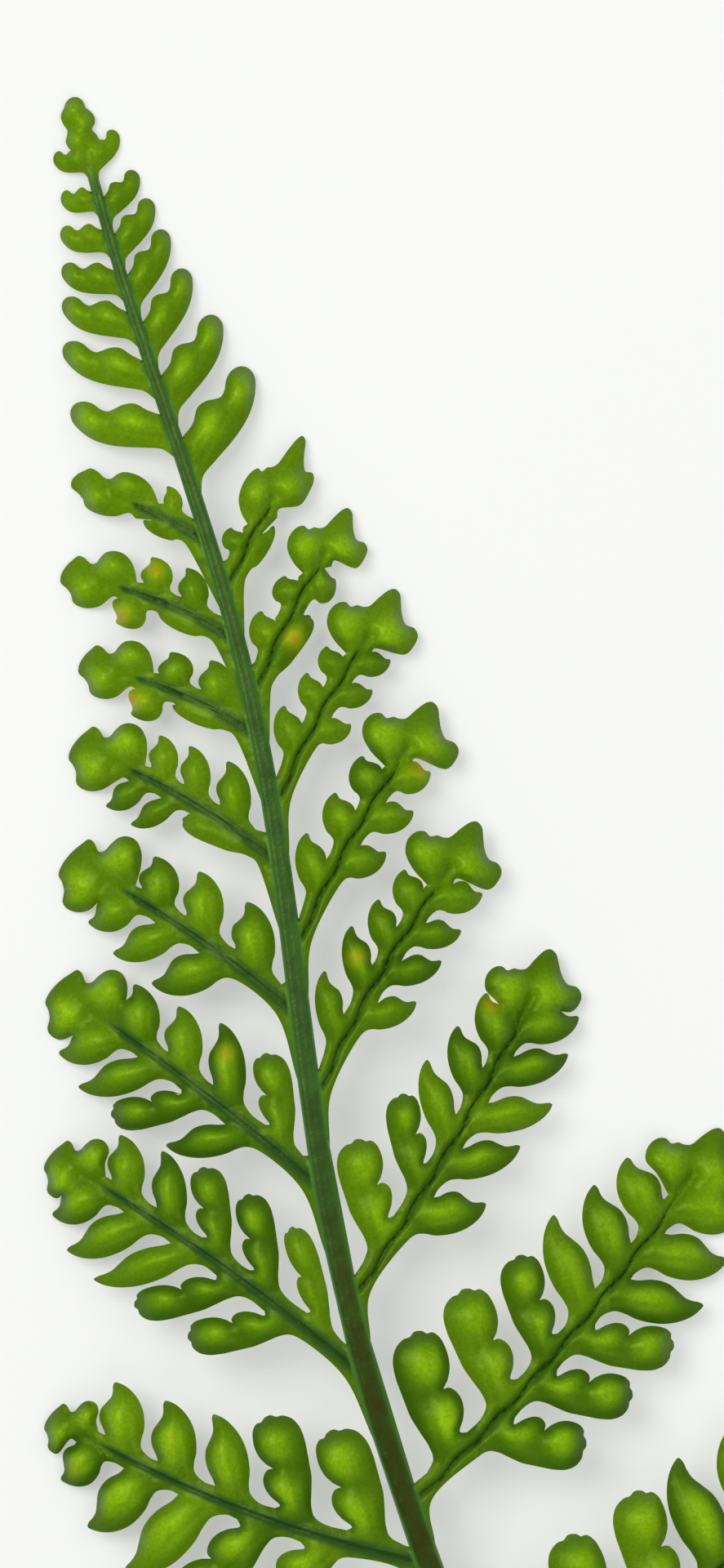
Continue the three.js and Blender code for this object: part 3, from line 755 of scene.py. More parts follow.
def lobe_fields(points, stands, caps):
    """What the lobes and ends give the blade: domes, tone, tips, veins and fading spots."""
    chance = random.Random(SEED)
    fields = {name: np.zeros(len(points)) for name in
              ("dome", "tone", "tip", "vein", "blotch", "rust")}
    closest = np.full(len(points), np.inf)
    before, beyond, widest = LOBE_MARGINS
    for stand in stands:
        out, side = stand.local(points)
        begin = stand.half / math.sin(stand.lean)
        across = np.abs(side) / stand.width
        over = (out > begin - before) & (out < stand.length + beyond) & (across < widest)
        share = (out - begin) / (stand.length - begin)
        bump = np.zeros(len(points))
        for middle, aside, long, wide in domes_of(stand):
            reach = ((out - middle) / long) ** 2 + ((side - aside) / wide) ** 2
            bump = np.maximum(bump, np.exp(-reach / 2) * min(stand.width / FULL_DOME_WIDTH, 1))
        fields["dome"] = np.where(over, np.maximum(fields["dome"], bump), fields["dome"])
        mine = over & (across < closest)
        closest[mine] = across[mine]
        fields["tone"][mine] = chance.uniform(-1, 1)
        fields["tip"][mine] = smoothstep(*TIP_FADE, share[mine])
        vein = bell((side + VEIN_ASIDE * stand.width) / VEIN_WIDTH) * smoothstep(*VEIN_FADE, share)
        fields["vein"][mine] = vein[mine]
        for along, aside, strength in stand.blotches:
            away = (out - lerp(begin, stand.length, along)) ** 2
            away += (side - aside * stand.width) ** 2
            for name, reach in (("blotch", BLOTCH_REACH), ("rust", BLOTCH_MIDDLE)):
                fields[name][mine] = (strength * np.exp(-away / reach ** 2))[mine]
    before, beyond, widest = END_MARGINS
    for cap in caps:
        out, side = cap.local(points)
        over = (out > -before) & (out < cap.length + beyond) & (np.abs(side) < widest * cap.width)
        wide = END_DOME_REACH * cap.width
        for along, across in cap.domes:
            away = (out - along * cap.length) ** 2 + (side - across * cap.width) ** 2
            bump = np.exp(-away / (2 * wide * wide)) * over
            fields["dome"] = np.maximum(fields["dome"], bump)
        mine = over & (closest > END_OUTSIDE)
        fields["tip"][mine] = smoothstep(*END_TIP_FADE, out[mine] / cap.length)
    return fields


def beside_costae(points, lines):
    """For many points: how far beside the nearest costa they are, how far along it and past its
    end, at which share of it, and whether it is a right-hand one."""
    line = np.concatenate(lines)
    directions = np.concatenate([np.gradient(one, axis=0) for one in lines])
    directions /= np.linalg.norm(directions, axis=1)[:, None]
    near, _ = nearest(tree_of(line), points)
    away, along = points - line[near], directions[near]
    offset = away[:, 0] * along[:, 1] - away[:, 1] * along[:, 0]
    beyond = np.abs((away * along).sum(axis=1))
    run = np.concatenate([np.arange(len(one)) * LINE_STEP for one in lines])
    share = np.concatenate([np.linspace(0, 1, len(one)) for one in lines])
    right = np.concatenate([np.full(len(one), one[-1, 0] > one[0, 0]) for one in lines])
    return offset, run[near], beyond, share[near], right[near]


def costa_relief(beside, form, fields):
    """How far the costae stand out above and below. Adds what colours them to the fields."""
    offset, run, beyond, share, right = beside
    half = costa_half(share)
    size = half / (COSTA_WIDTH / 2)
    fade = smoothstep(*COSTA_END_FADE, share) * smoothstep(*COSTA_BEYOND_FADE, beyond)
    ratio = offset / half
    crooked = (offset + CROOK * np.sin(2 * np.pi * run / CROOK_LENGTH)) / half
    bank = bell((np.abs(crooked) - BANK_AT) / BANK_WIDTH) * form.bank / MM
    dip = bell(crooked / DIP_WIDTH) * form.groove / MM
    rib = bell(ratio / RIB_WIDTH) * form.rib / MM - bell(ratio / RIB_LINE_WIDTH) * RIB_LINE_DEPTH
    above = np.where(right, bank - dip, rib) * fade * size ** COSTA_HEIGHT_POWER
    below = bell(ratio / RIB_BELOW_WIDTH) * form.under_rib / MM * fade * size
    fields["costa"] = (np.exp(-np.abs(ratio / COSTA_COLOUR_WIDTH) ** 3) * fade
                       * np.where(right, RIGHT_COSTA_COLOUR, 1))
    # Painted shade in the right costae's grooves and along the left ribs' middle line
    fields["groove"] = bell(np.where(right, crooked / GROOVE_SHADE_WIDTH,
                                     ratio / LINE_SHADE_WIDTH)) * fade
    return above, below


def stem_fields(aside, y):
    """Where the stalk and rachis are, their middle band, its old length and the young blade."""
    end = FROND_LENGTH - TIP_LENGTH
    gone, full = STEM_END_FADE
    stem = smoothstep(*STEM_FADE, np.abs(aside)) * (y < end + gone)
    stem *= smoothstep(end + gone, end + full, y)
    band = stem * smoothstep(*BAND_FADE, np.abs(aside))
    return {"stem": stem, "band": band,
            "old": band * smoothstep(*(STIPE_LENGTH + place for place in OLD_FADE), y),
            "young": smoothstep(*(FROND_LENGTH + place for place in YOUNG_FADE), y)}


def stem_faces(aside, y, base, form):
    """Heights of the upper and the lower side of the stalk and rachis."""
    foot = 1 - np.clip(y / FOOT_LENGTH, 0, 1)
    section = np.sqrt(np.clip(1 - aside ** 2, 0, 1) * np.clip(1 - foot ** 2, 0, 1))
    high = smoothstep(*(STIPE_LENGTH + place for place in HIGH_FADE), y)
    upper = base + (0.5 - SUNK_SHARE * high) * rachis_depth(y) * section
    lower = base - (0.5 + SUNK_SHARE * high) * rachis_depth(y) * section
    groove = form.rachis_groove / MM * bell(aside / STEM_GROOVE_WIDTH) * section
    return upper - groove * lerp(STALK_GROOVE, 1, high), lower


def relief_of(points, faces, rim_count, layout, form):
    """Heights of the upper and the lower face at every point, and what colours the blade."""
    stands, caps, lines = layout
    x, y = points[:, 0], points[:, 1]
    on_rim = np.arange(len(points)) < rim_count
    pairs = np.concatenate([faces[:, [0, 1]], faces[:, [1, 2]], faces[:, [2, 0]]])
    pairs = np.unique(np.sort(pairs, axis=1), axis=0)
    rim = points[:rim_count]
    dense = np.concatenate([rim, (rim + np.roll(rim, -1, axis=0)) / 2])
    inward = nearest(tree_of(dense), points)[1]
    inward[on_rim] = 0

    fields = lobe_fields(points, stands, caps)
    beside = beside_costae(points, lines)
    costa_above, costa_below = costa_relief(beside, form, fields)
    aside = (x - rachis_x(y)) / rachis_half(y)
    fields.update(stem_fields(aside, y))
    on_stem = fields["stem"]

    pillow = 1 - (1 - np.clip(inward / PILLOW_REACH, 0, 1)) ** 2
    pillow = smoothed(pillow, pairs, on_rim, PILLOW_ROUNDS)
    fields["dome"] *= smoothstep(*DOME_FADE, inward)
    fields["dome"] = smoothed(fields["dome"], pairs, on_rim, DOME_ROUNDS)
    offset, _, beyond, _, right = beside
    calm = COSTA_CALM * bell(offset / np.where(right, RIGHT_CALM_WIDTH, CALM_WIDTH))
    lift = (form.pillow * pillow + form.dome * fields["dome"]) / MM
    lift *= 1 - calm * smoothstep(*CALM_FADE, beyond)
    lift -= form.vein / MM * fields["vein"] * smoothstep(*VEIN_RIM_FADE, inward)
    base = blade_z(x, y)
    lift *= (1 - on_stem) * lerp(1, CREST_CALM, smoothstep(*CREST, base))
    low = soft_floor(base - LAMINA_HALF - TIP_DROOP * fields["tip"], FLOOR_EASE)
    low += np.maximum(lift, 0)
    eased = np.sqrt(1 - (1 - np.clip(inward / RIM_ROUND, 0, 1)) ** 2)
    top = low + 2 * LAMINA_HALF * lerp(RIM_LEVEL, 1, eased)

    stem_top, stem_low = stem_faces(aside, y, base, form)
    on_rachis = (np.abs(aside) < STEM_SIDE) & (on_stem > 0.02)
    top = np.where(on_rachis, lerp(top, soft_most(top, stem_top, STEM_EASE), on_stem), top)
    low = np.where(on_rachis, lerp(low, -soft_most(-low, -stem_low, STEM_EASE), on_stem), low)
    clear = 1 - smoothstep(*STEM_SIDE_FADE, np.abs(aside)) * on_stem
    top += costa_above * clear * smoothstep(*COSTA_RIM_FADE, inward)
    low -= costa_below * clear * smoothstep(*COSTA_BELOW_RIM_FADE, inward)
    low = np.maximum(low, 0)
    rim_height = np.maximum(np.where(on_rachis, base, top), LOWEST_RIM)
    top = np.where(on_rim, rim_height, np.maximum(top, low + THINNEST))
    # Painted shade along the rim, darkest at the edge and gone a little inward
    fields["rim_shade"] = np.exp(-(inward / RIM_SHADE_WIDTH) ** RIM_SHADE_POWER) * (1 - on_stem)
    return top, low, fields


# Materials

def linear(hex_colour):
    """A linear colour with alpha from an sRGB hex value."""
    found = []
    for start in (1, 3, 5):
        value = int(hex_colour[start:start + 2], 16) / 255
        found.append(value / 12.92 if value <= 0.04045 else ((value + 0.055) / 1.055) ** 2.4)
    return (*found, 1.0)


def add_node(material, kind, links=(), **settings):
    """Adds one node with its settings. Each link names an input and a socket or a value for it."""
    tree = material.node_tree
    node = tree.nodes.new(kind)
    for name, value in settings.items():
        setattr(node, name, value)
    for name, value in links:
        if hasattr(value, "is_output"):
            tree.links.new(value, node.inputs[name])
        else:
            node.inputs[name].default_value = value
    return node


def new_material(name, **constants):
    """A material with constant values on its shader. An underscore stands for a space."""
    material = bpy.data.materials.new(name)
    material.use_nodes = True
    shader = material.node_tree.nodes["Principled BSDF"]
    for socket, value in constants.items():
        shader.inputs[socket.replace("_", " ")].default_value = value
    return material, shader


def leaf_material(colours):
    """Living fern blade: a leathery, waxy skin over green tissue. The wax gives a satin gloss that
    gathers on the domes. The domes carry a painted highlight in a yellower green. Painted shade
    darkens the valleys, the vein folds, the costae's grooves and the thin rim, and the costae are a
    darker bluish green."""
    material, shader = new_material(
        "leathery_fern_blade", IOR=1.45, Specular_IOR_Level=0.34,
        Specular_Tint=linear("#CDEE66"), Subsurface_Weight=0.08,
        Subsurface_Radius=(0.4, 0.9, 0.15), Subsurface_Scale=0.6 * MM)
    tree = material.node_tree
    place = add_node(material, "ShaderNodeTexCoord").outputs["Object"]
    value = {}
    # Clouds of tone as wide as a lobe, folds 1.6 mm apart, and the skin's cells, which are near
    # 0.05 mm wide on the real blade and are drawn 0.3 mm wide so that they show
    for name, millimetres, detail, rough in (("clouds", 9, 2, 0.55), ("folds", 1.6, 3, 0.55),
                                             ("cells", 0.3, 2, 0.7), ("specks", 0.7, 3, 0.65)):
        value[name] = add_node(material, "ShaderNodeTexNoise", links=[
            ("Vector", place), ("Scale", 1 / (millimetres * MM)), ("Detail", detail),
            ("Roughness", rough)]).outputs["Fac"]
        value["thin " + name] = add_node(material, "ShaderNodeMapRange", links=[
            ("Value", value[name]), ("From Min", 0.25), ("From Max", 0.7),
            ("To Min", 0.55)]).outputs["Result"]
    for name in ("dome", "tone", "vein", "costa", "groove", "stem", "band", "old", "rim_shade", "tip",
                 "blotch", "rust", "under", "young"):
        value[name] = add_node(material, "ShaderNodeAttribute",
                               attribute_name=name).outputs["Fac"]
    # Painted shade: the base is the valley green, so the valleys and the vein folds are darker; the
    # skin's cells mottle with it too
    # Colour over colour: where it lies, from which value to which, how strongly, what thins it
    colour = colours.valley_shade_and_cells_green
    for where, low, high, most, thinned, over in (
            ("dome", 0, 0.52, 1, None, colours.blade_green),
            ("young", 0, 1, 0.42, None, colours.young_green),
            # Painted highlight: the tops of the domes turn a brighter yellow green
            ("dome", 0.3, 0.95, 1, "folds", colours.dome_highlight_green),
            ("tone", -1, 1, 0.45, None, colours.young_green),
            ("clouds", 0.35, 0.7, 0.35, None, colours.blade_green),
            ("cells", 0.3, 0.7, 0.28, None, colours.valley_shade_and_cells_green),
            ("vein", 0.1, 1, 0.25, None, colours.valley_shade_and_cells_green),
            ("costa", 0.05, 0.95, 0.85, None, colours.rib_green),
            # Painted shade in the costae's grooves and along the ribs' middle line
            ("groove", 0.1, 0.95, 0.92, None, colours.groove_shade_green),
            ("stem", 0, 1, 1, None, colours.rachis_edge),
            ("band", 0, 1, 1, "folds", colours.rachis_middle),
            ("old", 0, 1, 1, "folds", colours.stalk_brown),
            # Painted shade along the rim
            ("rim_shade", 0.3, 1, 0.08, None, colours.rim_shade_colour),
            ("tip", 0.1, 1, 0.3, None, colours.tip_grey),
            ("blotch", 0.1, 1, 0.9, "specks", colours.blotch_yellow),
            ("rust", 0.2, 0.8, 0.9, "specks", colours.blotch_orange),
            ("under", 0, 1, 0.7, "cells", colours.underside_green)):
        share = add_node(material, "ShaderNodeMapRange", interpolation_type="SMOOTHSTEP", links=[
            ("Value", value[where]), ("From Min", low), ("From Max", high),
            ("To Max", most)]).outputs["Result"]
        if thinned:
            share = add_node(material, "ShaderNodeMath", operation="MULTIPLY", links=[
                (0, share), (1, value["thin " + thinned])]).outputs[0]
        colour = add_node(material, "ShaderNodeMix", data_type="RGBA", links=[
            (0, share), (6, colour), (7, over)]).outputs[2]
    tree.links.new(colour, shader.inputs["Base Color"])
    # Glossier on the smooth bulges, duller in the folds and on the underside
    gloss = add_node(material, "ShaderNodeMapRange", links=[
        ("Value", value["folds"]), ("From Min", 0.3), ("From Max", 0.75), ("To Min", 0.27),
        ("To Max", 0.4)]).outputs["Result"]
    gloss = add_node(material, "ShaderNodeMath", operation="MULTIPLY_ADD", links=[
        (0, value["under"]), (1, 0.25), (2, gloss)]).outputs[0]
    tree.links.new(gloss, shader.inputs["Roughness"])
    grain = add_node(material, "ShaderNodeBump", links=[
        ("Strength", 0.35), ("Distance", 0.06 * MM), ("Height", value["cells"])]).outputs[0]
    folds = add_node(material, "ShaderNodeBump", links=[
        ("Strength", 0.5), ("Distance", 0.2 * MM), ("Height", value["folds"]),
        ("Normal", grain)]).outputs[0]
    tree.links.new(folds, shader.inputs["Normal"])
    return material


def papery_material(name, where, dark, brown, pale, millimetres):
    """Dry plant skin, matt and fibrous: brown, darker in its grain, and paler where it is thin."""
    material, shader = new_material(name, Roughness=0.72, Specular_IOR_Level=0.3)
    tree = material.node_tree
    place = add_node(material, "ShaderNodeTexCoord").outputs["Object"]
    grain = add_node(material, "ShaderNodeTexNoise", links=[
        ("Vector", place), ("Scale", 1 / (millimetres * MM)), ("Detail", 3),
        ("Roughness", 0.7)]).outputs["Fac"]
    thin = add_node(material, "ShaderNodeAttribute", attribute_name=where).outputs["Fac"]
    colour = dark
    for source, low, high, most, over in (
            (grain, 0.35, 0.65, 1, brown), (thin, 0.2, 0.9, 0.9, pale)):
        share = add_node(material, "ShaderNodeMapRange", links=[
            ("Value", source), ("From Min", low), ("From Max", high),
            ("To Max", most)]).outputs["Result"]
        colour = add_node(material, "ShaderNodeMix", data_type="RGBA", links=[
            (0, share), (6, colour), (7, over)]).outputs[2]
    tree.links.new(colour, shader.inputs["Base Color"])
    bump = add_node(material, "ShaderNodeBump", links=[
        ("Strength", 0.6), ("Distance", 0.08 * MM), ("Height", grain)]).outputs[0]
    tree.links.new(bump, shader.inputs["Normal"])
    return material


def panel_material(colours, glow):
    """Opal acrylic panel, matt and faintly lit from below, so that shadows on it stay pale."""
    material, shader = new_material(
        "matt_opal_acrylic", Roughness=0.9, Specular_IOR_Level=0.2,
        Emission_Color=linear("#F7F9F8"), Emission_Strength=glow)
    tree = material.node_tree
    place = add_node(material, "ShaderNodeTexCoord").outputs["Object"]
    cloud = add_node(material, "ShaderNodeTexNoise", links=[
        ("Vector", place), ("Scale", 1 / (60 * MM)), ("Detail", 2)]).outputs["Fac"]
    tint = add_node(material, "ShaderNodeMix", data_type="RGBA", links=[
        (0, cloud), (6, colours.panel_white), (7, colours.panel_cloud)]).outputs[2]
    tree.links.new(tint, shader.inputs["Base Color"])
    return material


# Pieces

# Heaps: how far below the blade's underside they hang, the least size, how much a heap shrinks
# at a time until the blade covers it, the least height that it needs in widths, and the rings
# and places where the cover is tried. Then the heap and its flap: size, squash, further cuts.
HEAP_DROP, LEAST_HEAP, HEAP_SHRINK, HEAP_CLEARANCE = 0.16, 0.45, 0.08, 0.4
COVER_RINGS, COVER_PLACES = (0.4, 0.7, 1), 16
HEAP_PARTS = (
    ("heap", 0.86, (0.95, 0.9, 0.62), ()),
    ("flap", 1.0, (1, 1, 0.66), (((0, 0, 0), (1, 0, 0.35)),)),
)

# Scales: the turn from one to the next and the lowest side that still has them, first and last
# place, spread and how deep they sit in millimetres, tilt and sway in degrees. Then the outline
# in shares: swelling, taper, tip and half the broadest place, and how far the tip curls up.
GOLDEN_TURN, LOWEST_SCALE = math.radians(137.5), -0.35
FIRST_SCALE, LAST_SCALE, SCALE_SPREAD, SCALE_SUNK = 0.7, 6.5, 0.5, 0.06
SCALE_TILT, SCALE_SWAY = 5, 9
SCALE_SWELLING, SCALE_TAPER, SCALE_TIP, SCALE_HALF, SCALE_CURL = 1.6, 0.42, 0.03, 0.31, 0.05

# Least angle of a crease that stays sharp, in degrees
BLADE_CREASE, HEAP_CREASE, SCALE_CREASE = 60, 40, 50


def clear_selection():
    for shown in bpy.context.selected_objects:
        shown.select_set(False)
    bpy.context.view_layer.objects.active = None


def take(pieces):
    """Selects these objects alone, the first as the active one."""
    clear_selection()
    for piece in pieces:
        piece.select_set(True)
    bpy.context.view_layer.objects.active = pieces[0]


def give_place(piece):
    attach(piece, "root")
    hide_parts("frond")


def placed_copy(master, matrix):
    copy = master.copy()
    copy.data = master.data.copy()
    copy.matrix_world = matrix
    bpy.context.scene.collection.objects.link(copy)
    return copy


def joined(master, copies, name, material):
    """Joins the copies of a master to one piece and removes the master."""
    bpy.data.objects.remove(master)
    take(copies)
    bpy.ops.object.join()
    bpy.ops.object.transform_apply(location=True, rotation=True, scale=True)
    piece = bpy.context.active_object
    piece.name = piece.data.name = name
    piece.data.materials.clear()
    piece.data.materials.append(material)
    give_place(piece)


def store(mesh, name, values):
    layer = mesh.attributes.new(name, "FLOAT", "POINT")
    layer.data.foreach_set("value", np.asarray(values, dtype=np.float32))


def choose(mesh, wanted):
    """In edit mode, selects the vertices that wanted says yes to."""
    bpy.ops.mesh.select_mode(type="VERT")
    bpy.ops.mesh.select_all(action="DESELECT")
    bpy.ops.object.mode_set(mode="OBJECT")
    for vertex in mesh.vertices:
        vertex.select = wanted(vertex.co)
    bpy.ops.object.mode_set(mode="EDIT")


def mark_blotches(stands):
    """Gives each fading spot to its lobe."""
    numbers = {}
    number = 0
    for side in (-1, 1):
        for pinna, row in enumerate(PINNAE[side]):
            for lobe in range(row[4]):
                numbers[side, pinna, lobe] = number
                number += 1
        number += len(SMALL_PINNAE[side])
    for side, pinna, lobe, *spot in BLOTCHES:
        stands[numbers[side, pinna, lobe]].blotches.append(spot)


def make_blade(colours, form):
    """The whole frond as one closed mesh: two faces that share their rim. Its rim has some
    thousand curved turns, so it is laid out in code and not pulled out of a primitive."""
    knots, stands, caps, lines = grow_layout()
    mark_blotches(stands)
    rim = without_loops(rim_points(knots, RIM_STEP), LOOP_REACH)
    points, faces = fill(rim, inner_points(rim, lines))
    used = np.zeros(len(points), dtype=bool)
    used[faces.ravel()] = True
    if not used[:len(rim)].all():
        raise RuntimeError("The rim lost a point")
    order = np.cumsum(used) - 1
    points, faces = points[used], order[faces]
    top, low, fields = relief_of(points, faces, len(rim), (stands, caps, lines), form)
    count, shared = len(points), len(rim)
    upper = np.column_stack([points, top])
    lower = np.column_stack([points[shared:], low[shared:]])
    below = np.arange(count) + np.where(np.arange(count) < shared, 0, count - shared)
    vertices = np.concatenate([upper, lower])
    vertices[:, :2] -= CENTRE
    triangles = np.concatenate([faces, below[faces[:, ::-1]]])
    mesh = bpy.data.meshes.new("frond_blade")
    mesh.from_pydata((vertices * MM).tolist(), [], triangles.tolist())
    mesh.update()
    for name, values in fields.items():
        store(mesh, name, np.concatenate([values, values[shared:]]))
    under = np.concatenate([np.zeros(count), np.ones(count - shared)])
    store(mesh, "under", under)
    mesh.validate()
    piece = bpy.data.objects.new("frond_blade", mesh)
    bpy.context.scene.collection.objects.link(piece)
    mesh.materials.append(leaf_material(colours))
    take([piece])
    bpy.ops.object.shade_smooth_by_angle(angle=math.radians(BLADE_CREASE))
    give_place(piece)


def make_heap(spores):
    """One heap of spore cases in its half cup. It hangs from z = 0 and opens toward +X."""
    across = spores.across
    parts = []
    for name, size, squash, cuts in HEAP_PARTS:
        clear_selection()
        bpy.ops.mesh.primitive_uv_sphere_add(segments=8, ring_count=5, radius=size * across / 2)
        part = bpy.context.active_object
        bpy.ops.object.mode_set(mode="EDIT")
        bpy.ops.mesh.select_all(action="SELECT")
        bpy.ops.transform.resize(value=squash, center_override=(0, 0, 0))
        for point, normal in (((0, 0, 0), (0, 0, 1)), *cuts):
            bpy.ops.mesh.select_all(action="SELECT")
            bpy.ops.mesh.bisect(plane_co=point, plane_no=normal, use_fill=True, clear_outer=True)
        bpy.ops.mesh.select_all(action="SELECT")
        bpy.ops.mesh.normals_make_consistent(inside=False)
        bpy.ops.object.mode_set(mode="OBJECT")
        rim = [1 if name == "flap" else 0] * len(part.data.vertices)
        store(part.data, "flap", rim)
        parts.append(part)
    take(parts)
    bpy.ops.object.join()
    bpy.ops.object.shade_smooth_by_angle(angle=math.radians(HEAP_CREASE))
    return bpy.context.active_object


def covered(blade, middle, slope, radius):
    """Whether the blade lies over a whole tilted disc, tried at rings of places."""
    for ring in COVER_RINGS:
        for step in range(COVER_PLACES):
            turn = step * 2 * math.pi / COVER_PLACES
            x, y = ring * radius * math.cos(turn), ring * radius * math.sin(turn)
            start = Vector((middle.x + x, middle.y + y, -1))
            found, place, _, _ = blade.ray_cast(start * MM, (0, 0, 1))
            top = middle.z - (slope.x * x + slope.y * y) / slope.z
            if not found or place.z / MM + LAMINA_HALF < top:
                return False
    return True


def make_spores(colours, spores):
    """A heap of spore cases in the hollow under each dome that stands clear of the floor."""
    blade = bpy.data.objects["frond_blade"]
    heap = make_heap(spores)
    _, stands, caps, _ = grow_layout()
    spots = [(stand, out, side + stand.curve * out ** 2 / stand.length, wide)
             for stand in stands for out, side, _, wide in domes_of(stand)]
    spots += [(cap, along * cap.length, across * cap.width, END_DOME_REACH * cap.width)
              for cap in caps for along, across in cap.domes]
    copies = []
    for stand, out, side, wide in spots:
        x, y = stand.origin + stand.outward * out + stand.crosswise * side
        start = Vector((x - CENTRE[0], y - CENTRE[1], -1))
        found, place, _, _ = blade.ray_cast(start * MM, (0, 0, 1))
        if not found:
            continue
        slope = Vector((blade_z(x - 0.5, y) - blade_z(x + 0.5, y),
                        blade_z(x, y - 0.5) - blade_z(x, y + 0.5), 1)).normalized()
        middle = place / MM - slope * HEAP_DROP
        size = min(wide / FULL_DOME, 1)
        radius = spores.across / MM / 2
        while size > LEAST_HEAP and not covered(blade, middle, slope, radius * size):
            size -= HEAP_SHRINK
        if size < LEAST_HEAP or middle.z < 2 * radius * size * HEAP_CLEARANCE:
            continue
        aside = slope.cross(Vector((*stand.outward, 0))).normalized()
        turned = Matrix((aside.cross(slope), aside, slope)).transposed().to_4x4()
        copies.append(placed_copy(
            heap, Matrix.Translation(middle * MM) @ turned @ Matrix.Scale(size, 4)))
    if not copies:
        raise RuntimeError("No dome has room for spore cases under it")
    material = papery_material("papery_spore_cases", "flap", colours.case_dark,
                               colours.case_brown, colours.flap_pale, 0.12)
    joined(heap, copies, "spore_cases", material)


def make_scale(scales):
    """One papery scale that lies along +Y from its root, broadest below its middle, drawn out to
    a point and curved round the stalk."""
    clear_selection()
    bpy.ops.mesh.primitive_grid_add(x_subdivisions=4, y_subdivisions=7, size=1)
    scale = bpy.context.active_object
    mesh = scale.data
    bpy.ops.object.mode_set(mode="EDIT")
    bpy.ops.mesh.select_all(action="SELECT")
    bpy.ops.transform.translate(value=(0, 0.5, 0))
    for row in range(8):
        height = row / 7
        choose(mesh, lambda place: abs(place.y - height) < 0.02)
        broad = max(SCALE_SWELLING * height ** 0.5 * (1 - height), SCALE_TAPER * (1 - height),
                    SCALE_TIP)
        bpy.ops.transform.resize(value=(broad, 1, 1), center_override=(0, height, 0))
        bpy.ops.transform.translate(value=(0, 0, SCALE_CURL * height ** 2))
    bpy.ops.mesh.select_all(action="SELECT")
    bpy.ops.transform.resize(value=(scales.width, scales.length, scales.length),
                             center_override=(0, 0, 0))
    bpy.ops.object.mode_set(mode="OBJECT")
    wide = SCALE_HALF * scales.width
    store(mesh, "edge", [(abs(vertex.co.x) / wide) ** 3 for vertex in mesh.vertices])
    for vertex in mesh.vertices:
        vertex.co.z -= vertex.co.x ** 2 / (RACHIS_WIDTH * JOINT_SWELLING * MM)
    solid = scale.modifiers.new("thickness", "SOLIDIFY")
    solid.thickness = scales.thickness
    bpy.ops.object.modifier_apply(modifier=solid.name)
    return scale


def make_scales(colours, scales):
    """Papery scales round the foot of the stalk, which overlap and point up along it."""
    chance = random.Random(SEED)
    one = make_scale(scales)
    copies = []
    for index in range(scales.count):
        y = lerp(FIRST_SCALE, LAST_SCALE, index / scales.count)
        y += chance.uniform(0, SCALE_SPREAD)
        turn = index * GOLDEN_TURN
        if math.cos(turn) < LOWEST_SCALE:
            continue
        half, deep = rachis_half(y) - SCALE_SUNK, rachis_depth(y) / 2 - SCALE_SUNK
        along = Vector((rachis_x(y + 1) - rachis_x(y), 1, rachis_z(y + 1) - rachis_z(y)))
        along.normalize()
        aside = along.cross(Vector((math.sin(turn) / half, 0, math.cos(turn) / deep))).normalized()
        turned = Matrix((aside, along, aside.cross(along))).transposed().to_4x4()
        place = Vector((rachis_x(y) + half * math.sin(turn) - CENTRE[0], y - CENTRE[1],
                        rachis_z(y) + deep * math.cos(turn)))
        sway = math.radians(chance.uniform(-SCALE_SWAY, SCALE_SWAY))
        copies.append(placed_copy(
            one, Matrix.Translation(place * MM) @ turned
            @ Matrix.Rotation(math.radians(SCALE_TILT), 4, "X") @ Matrix.Rotation(sway, 4, "Z")))
    material = papery_material("papery_stalk_scales", "edge", colours.scale_dark,
                               colours.scale_brown, colours.scale_pale, 0.25)
    joined(one, copies, "stalk_scales", material)
    bpy.ops.object.shade_smooth_by_angle(angle=math.radians(SCALE_CREASE))


# The add-on

# Panel size in metres and the point that the camera looks down on in millimetres. Then the
# lights: name, place and size in metres, share of the key light's power, tint.
PANEL_SIZE, CAMERA_AIM = 3.0, (6.41, 36.33, 5.0)
LIGHTS = (
    ("key", (-0.3, 0.34, 0.75), 0.5, 1, (1, 0.98, 0.95)),
    ("side", (0.5, 0.25, 0.7), 0.7, 0.35, (0.97, 0.99, 1)),
    ("low", (0.1, -0.6, 0.7), 0.7, 0.35, (1, 1, 1)),
)


def colour_of(name, value, words):
    return bpy.props.FloatVectorProperty(name=name, subtype="COLOR", size=4, min=0, max=1,
                                         default=linear(value), description=words)


def length_of(name, millimetres, words):
    return bpy.props.FloatProperty(name=name, unit="LENGTH", min=0, precision=5,
                                   default=millimetres * MM, description=words)


